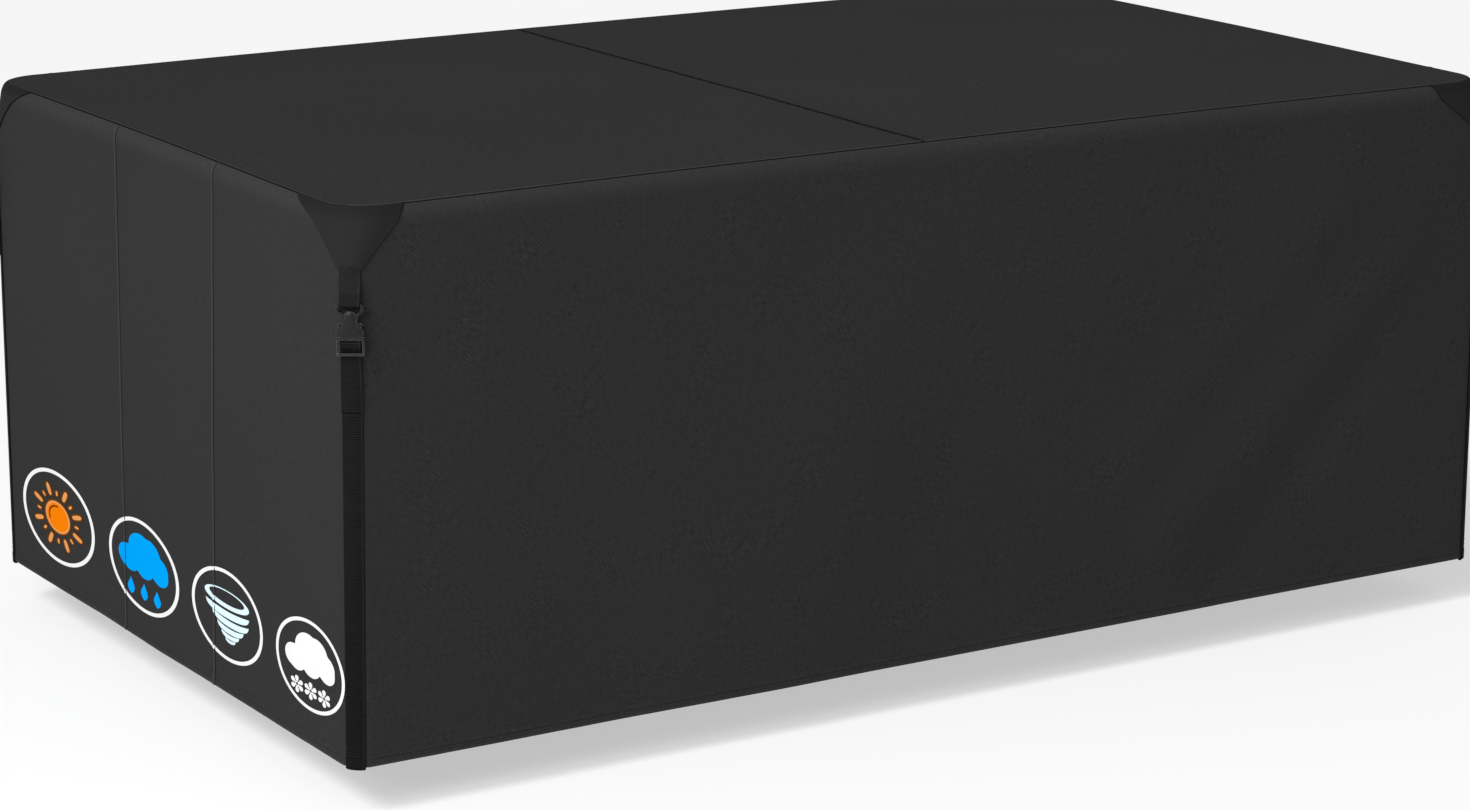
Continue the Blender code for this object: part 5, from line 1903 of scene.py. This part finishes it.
class COVER_OT_mould_buckles(CoverPiece, bpy.types.Operator):
    """Mould the socket and plug of each side-release buckle"""

    bl_idname = "cover.mould_buckles"
    bl_label = "Buckles"

    def execute(self, context):
        halves = {"socket": socket_mesh(), "plug": plug_mesh()}
        for place, x_side, y_side, turn, *_ in CORNERS:
            centre, outward, right = corner_frame(x_side, y_side, turn)
            start = centre + outward * WALL_CORNER_RADIUS
            stand = Matrix.Translation((start.x, start.y, BUCKLE_TOP)) @ Matrix.Rotation(
                math.atan2(right.y, right.x), 4, "Z")
            for kind, mesh in halves.items():
                copy = mesh.copy()
                copy.transform(stand)
                place_piece(f"buckle_{kind}_{place}", copy, "buckle_plastic", f"{kind}_{place}")
        return {"FINISHED"}


class COVER_OT_sew_stitches(CoverPiece, bpy.types.Operator):
    """Sew every row of stitches: hem, seams, gussets and strap ends"""

    bl_idname = "cover.sew_stitches"
    bl_label = "Stitches"

    def execute(self, context):
        sewing = context.scene.cover_stitch
        thread = sewing.thread
        tree = stitch_tree()
        groups = {
            "stitches_hem": hem_lines(thread),
            "stitches_end_seams": end_seam_lines(thread),
            "stitches_top": top_lines(thread),
            "stitches_gussets": [line for corner in CORNERS for line in gusset_lines(corner, thread)],
            "stitches_straps": [line for corner in CORNERS for line in strap_lines(corner, thread)],
        }
        for number, (name, lines) in enumerate(groups.items()):
            small = STRAP_STITCH if name == "stitches_straps" else 1.0
            mesh = bake_tree(line_mesh(lines), tree, {
                "Pitch": sewing.pitch * small, "Length": sewing.length * small, "Thread": thread,
                "Seed": number, "Material": finish("thread"),
            })
            place_piece(name, mesh, "thread")
        return {"FINISHED"}


class COVER_OT_print_signs(CoverPiece, bpy.types.Operator):
    """Print the four round weather signs on the end wall"""

    bl_idname = "cover.print_signs"
    bl_label = "Printed Signs"

    def execute(self, context):
        inks = {
            # sign: (slot, shapes, name, ink) of each layer
            "sun": (
                ("print_orange", sun_disc(), "disc", "print_orange"),
                ("print_orange", sun_rim(), "rays", "print_amber"),
                ("print_orange", sun_edges(), "edges", "print_rust"),
            ),
            "rain": (("print_blue", cloud() + drops(), "cloud", "print_blue"),),
            "wind": (("print_pale_blue", whirlwind(), "spiral", "print_pale_blue"),),
            "snow": (("print_white", cloud() + flakes(), "cloud", "print_white"),),
        }
        for sign in SIGNS:
            printed(f"print_ring_{sign[0]}", ring(), sign, "print_white")
            for slot, shapes, part, ink in inks[sign[0]]:
                printed(f"print_{sign[0]}_{part}", shapes, sign, slot, ink)
        return {"FINISHED"}


class COVER_OT_set_stage(CoverPiece, bpy.types.Operator):
    """Set the pale floor, the soft light and the camera"""

    bl_idname = "cover.set_stage"
    bl_label = "Stage"

    def execute(self, context):
        stage = context.scene.cover_stage
        set_floor(-HEIGHT - stage.clearance)
        set_lights(context.scene, stage)
        set_camera(context.scene)
        return {"FINISHED"}


FLOOR_SIZE, FLOOR_GREY, FLOOR_GLOW = 40.0, (0.42, 0.42, 0.42), 0.515
KEY_WAY, KEY_ANGLE, KEY_PLACE = (0.62, 0.18, -0.78), 20.0, (-4.0, -1.0, 4.0)
FILL_PLACE, FILL_AIM, FILL_SIZE = (-3.7, -2.6, 1.8), (-0.4, -0.4, -0.3), 1.6
CAMERA_PLACE = (-3.0795, -4.9547, 0.9827)
AZIMUTH, ELEVATION, ROLL = -31.7851, 14.0818, 0.0916
PHOTO_WIDTH, FOCAL_PIXELS, SENSOR_WIDTH = 1470.0, 4137.6, 36.0
WHITE = (1.0, 1.0, 1.0, 1.0)


def set_floor(height):
    """A plain pale floor."""
    shape = bmesh.new()
    bmesh.ops.create_grid(shape, x_segments=1, y_segments=1, size=FLOOR_SIZE)
    floor = linked("floor", mesh_of("floor", shape))
    floor.location.z = height
    material, tree, shader = new_finish("floor_paint", FLOOR_GREY, 0.9, specular=0.0)
    tone = weighted(tree, 0.995, (mottle(tree, object_place(tree), 1.5), 0.01))
    paint(tree, shader, FLOOR_GREY, tone)
    shader.inputs["Emission Color"].default_value = WHITE
    shader.inputs["Emission Strength"].default_value = FLOOR_GLOW
    floor.data.materials.append(material)


def add_light(scene, light, place, way):
    """Link a light at a place, shining a way."""
    thing = bpy.data.objects.new(light.name, light)
    thing.location = place
    thing.rotation_euler = Vector(way).to_track_quat("-Z", "Y").to_euler()
    scene.collection.objects.link(thing)


def set_lights(scene, stage):
    """An even white sky, and a main light and a broad one from the left."""
    world = bpy.data.worlds.new("studio")
    world.use_nodes = True
    back = world.node_tree.nodes["Background"]
    back.inputs["Color"].default_value = WHITE
    back.inputs["Strength"].default_value = stage.sky
    scene.world = world
    scene.view_settings.view_transform = "Standard"
    key = bpy.data.lights.new("key", "SUN")
    key.energy = stage.key
    key.angle = math.radians(KEY_ANGLE)
    add_light(scene, key, KEY_PLACE, KEY_WAY)
    fill = bpy.data.lights.new("fill", "AREA")
    fill.energy = stage.fill
    fill.size = FILL_SIZE
    add_light(scene, fill, FILL_PLACE, Vector(FILL_AIM) - Vector(FILL_PLACE))


def set_camera(scene):
    """The camera at the photograph's place."""
    azimuth, elevation, roll = [math.radians(angle) for angle in (AZIMUTH, ELEVATION, ROLL)]
    level = Vector((math.sin(azimuth), -math.cos(azimuth), 0.0))
    back = level * math.cos(elevation) + Vector((0.0, 0.0, math.sin(elevation)))
    right = (-back).cross(Vector((0, 0, 1))).normalized()
    up = right.cross(-back)
    tilted_right = right * math.cos(roll) + up * math.sin(roll)
    tilted_up = up * math.cos(roll) - right * math.sin(roll)
    data = bpy.data.cameras.new("camera")
    data.sensor_fit = "HORIZONTAL"
    data.sensor_width = SENSOR_WIDTH
    data.lens = FOCAL_PIXELS / PHOTO_WIDTH * SENSOR_WIDTH
    camera = bpy.data.objects.new("camera", data)
    turned = Matrix((tilted_right, tilted_up, back)).transposed()
    camera.matrix_world = Matrix.Translation(CAMERA_PLACE) @ turned.to_4x4()
    scene.collection.objects.link(camera)
    scene.camera = camera


OPERATORS = (
    COVER_OT_sew_top, COVER_OT_sew_long_walls, COVER_OT_sew_end_walls, COVER_OT_sew_gussets,
    COVER_OT_thread_webbing, COVER_OT_mould_buckles, COVER_OT_sew_stitches, COVER_OT_print_signs,
    COVER_OT_set_stage,
)
SETTINGS = {
    "cover_cloth": ClothSettings,
    "cover_stitch": StitchSettings,
    "cover_webbing": WebbingSettings,
    "cover_finish": FinishSettings,
    "cover_stage": StageSettings,
}


class COVER_PT_panel(bpy.types.Panel):
    """The cover's settings and its steps, in order"""

    bl_idname = "COVER_PT_panel"
    bl_label = "Patio Furniture Cover"
    bl_space_type = "VIEW_3D"
    bl_region_type = "UI"
    bl_category = "Cover"

    def draw(self, context):
        for label, group in SETTINGS.items():
            box = self.layout.box()
            for key in group.__annotations__:
                box.prop(getattr(context.scene, label), key)
        for operator in OPERATORS:
            self.layout.operator(operator.bl_idname)


def register():
    """Register the classes and hang the settings on the scene."""
    for cls in (*SETTINGS.values(), *OPERATORS, COVER_PT_panel):
        bpy.utils.register_class(cls)
    for label, group in SETTINGS.items():
        setattr(bpy.types.Scene, label, PointerProperty(type=group))


def unregister():
    """Take the settings and classes away again."""
    for label in SETTINGS:
        delattr(bpy.types.Scene, label)
    for cls in reversed((*SETTINGS.values(), *OPERATORS, COVER_PT_panel)):
        bpy.utils.unregister_class(cls)


def main():
    """Make the whole cover and its stage."""
    register()
    for operator in OPERATORS:
        group, step = operator.bl_idname.split(".")
        getattr(getattr(bpy.ops, group), step)()


if __name__ == "__main__":
    main()
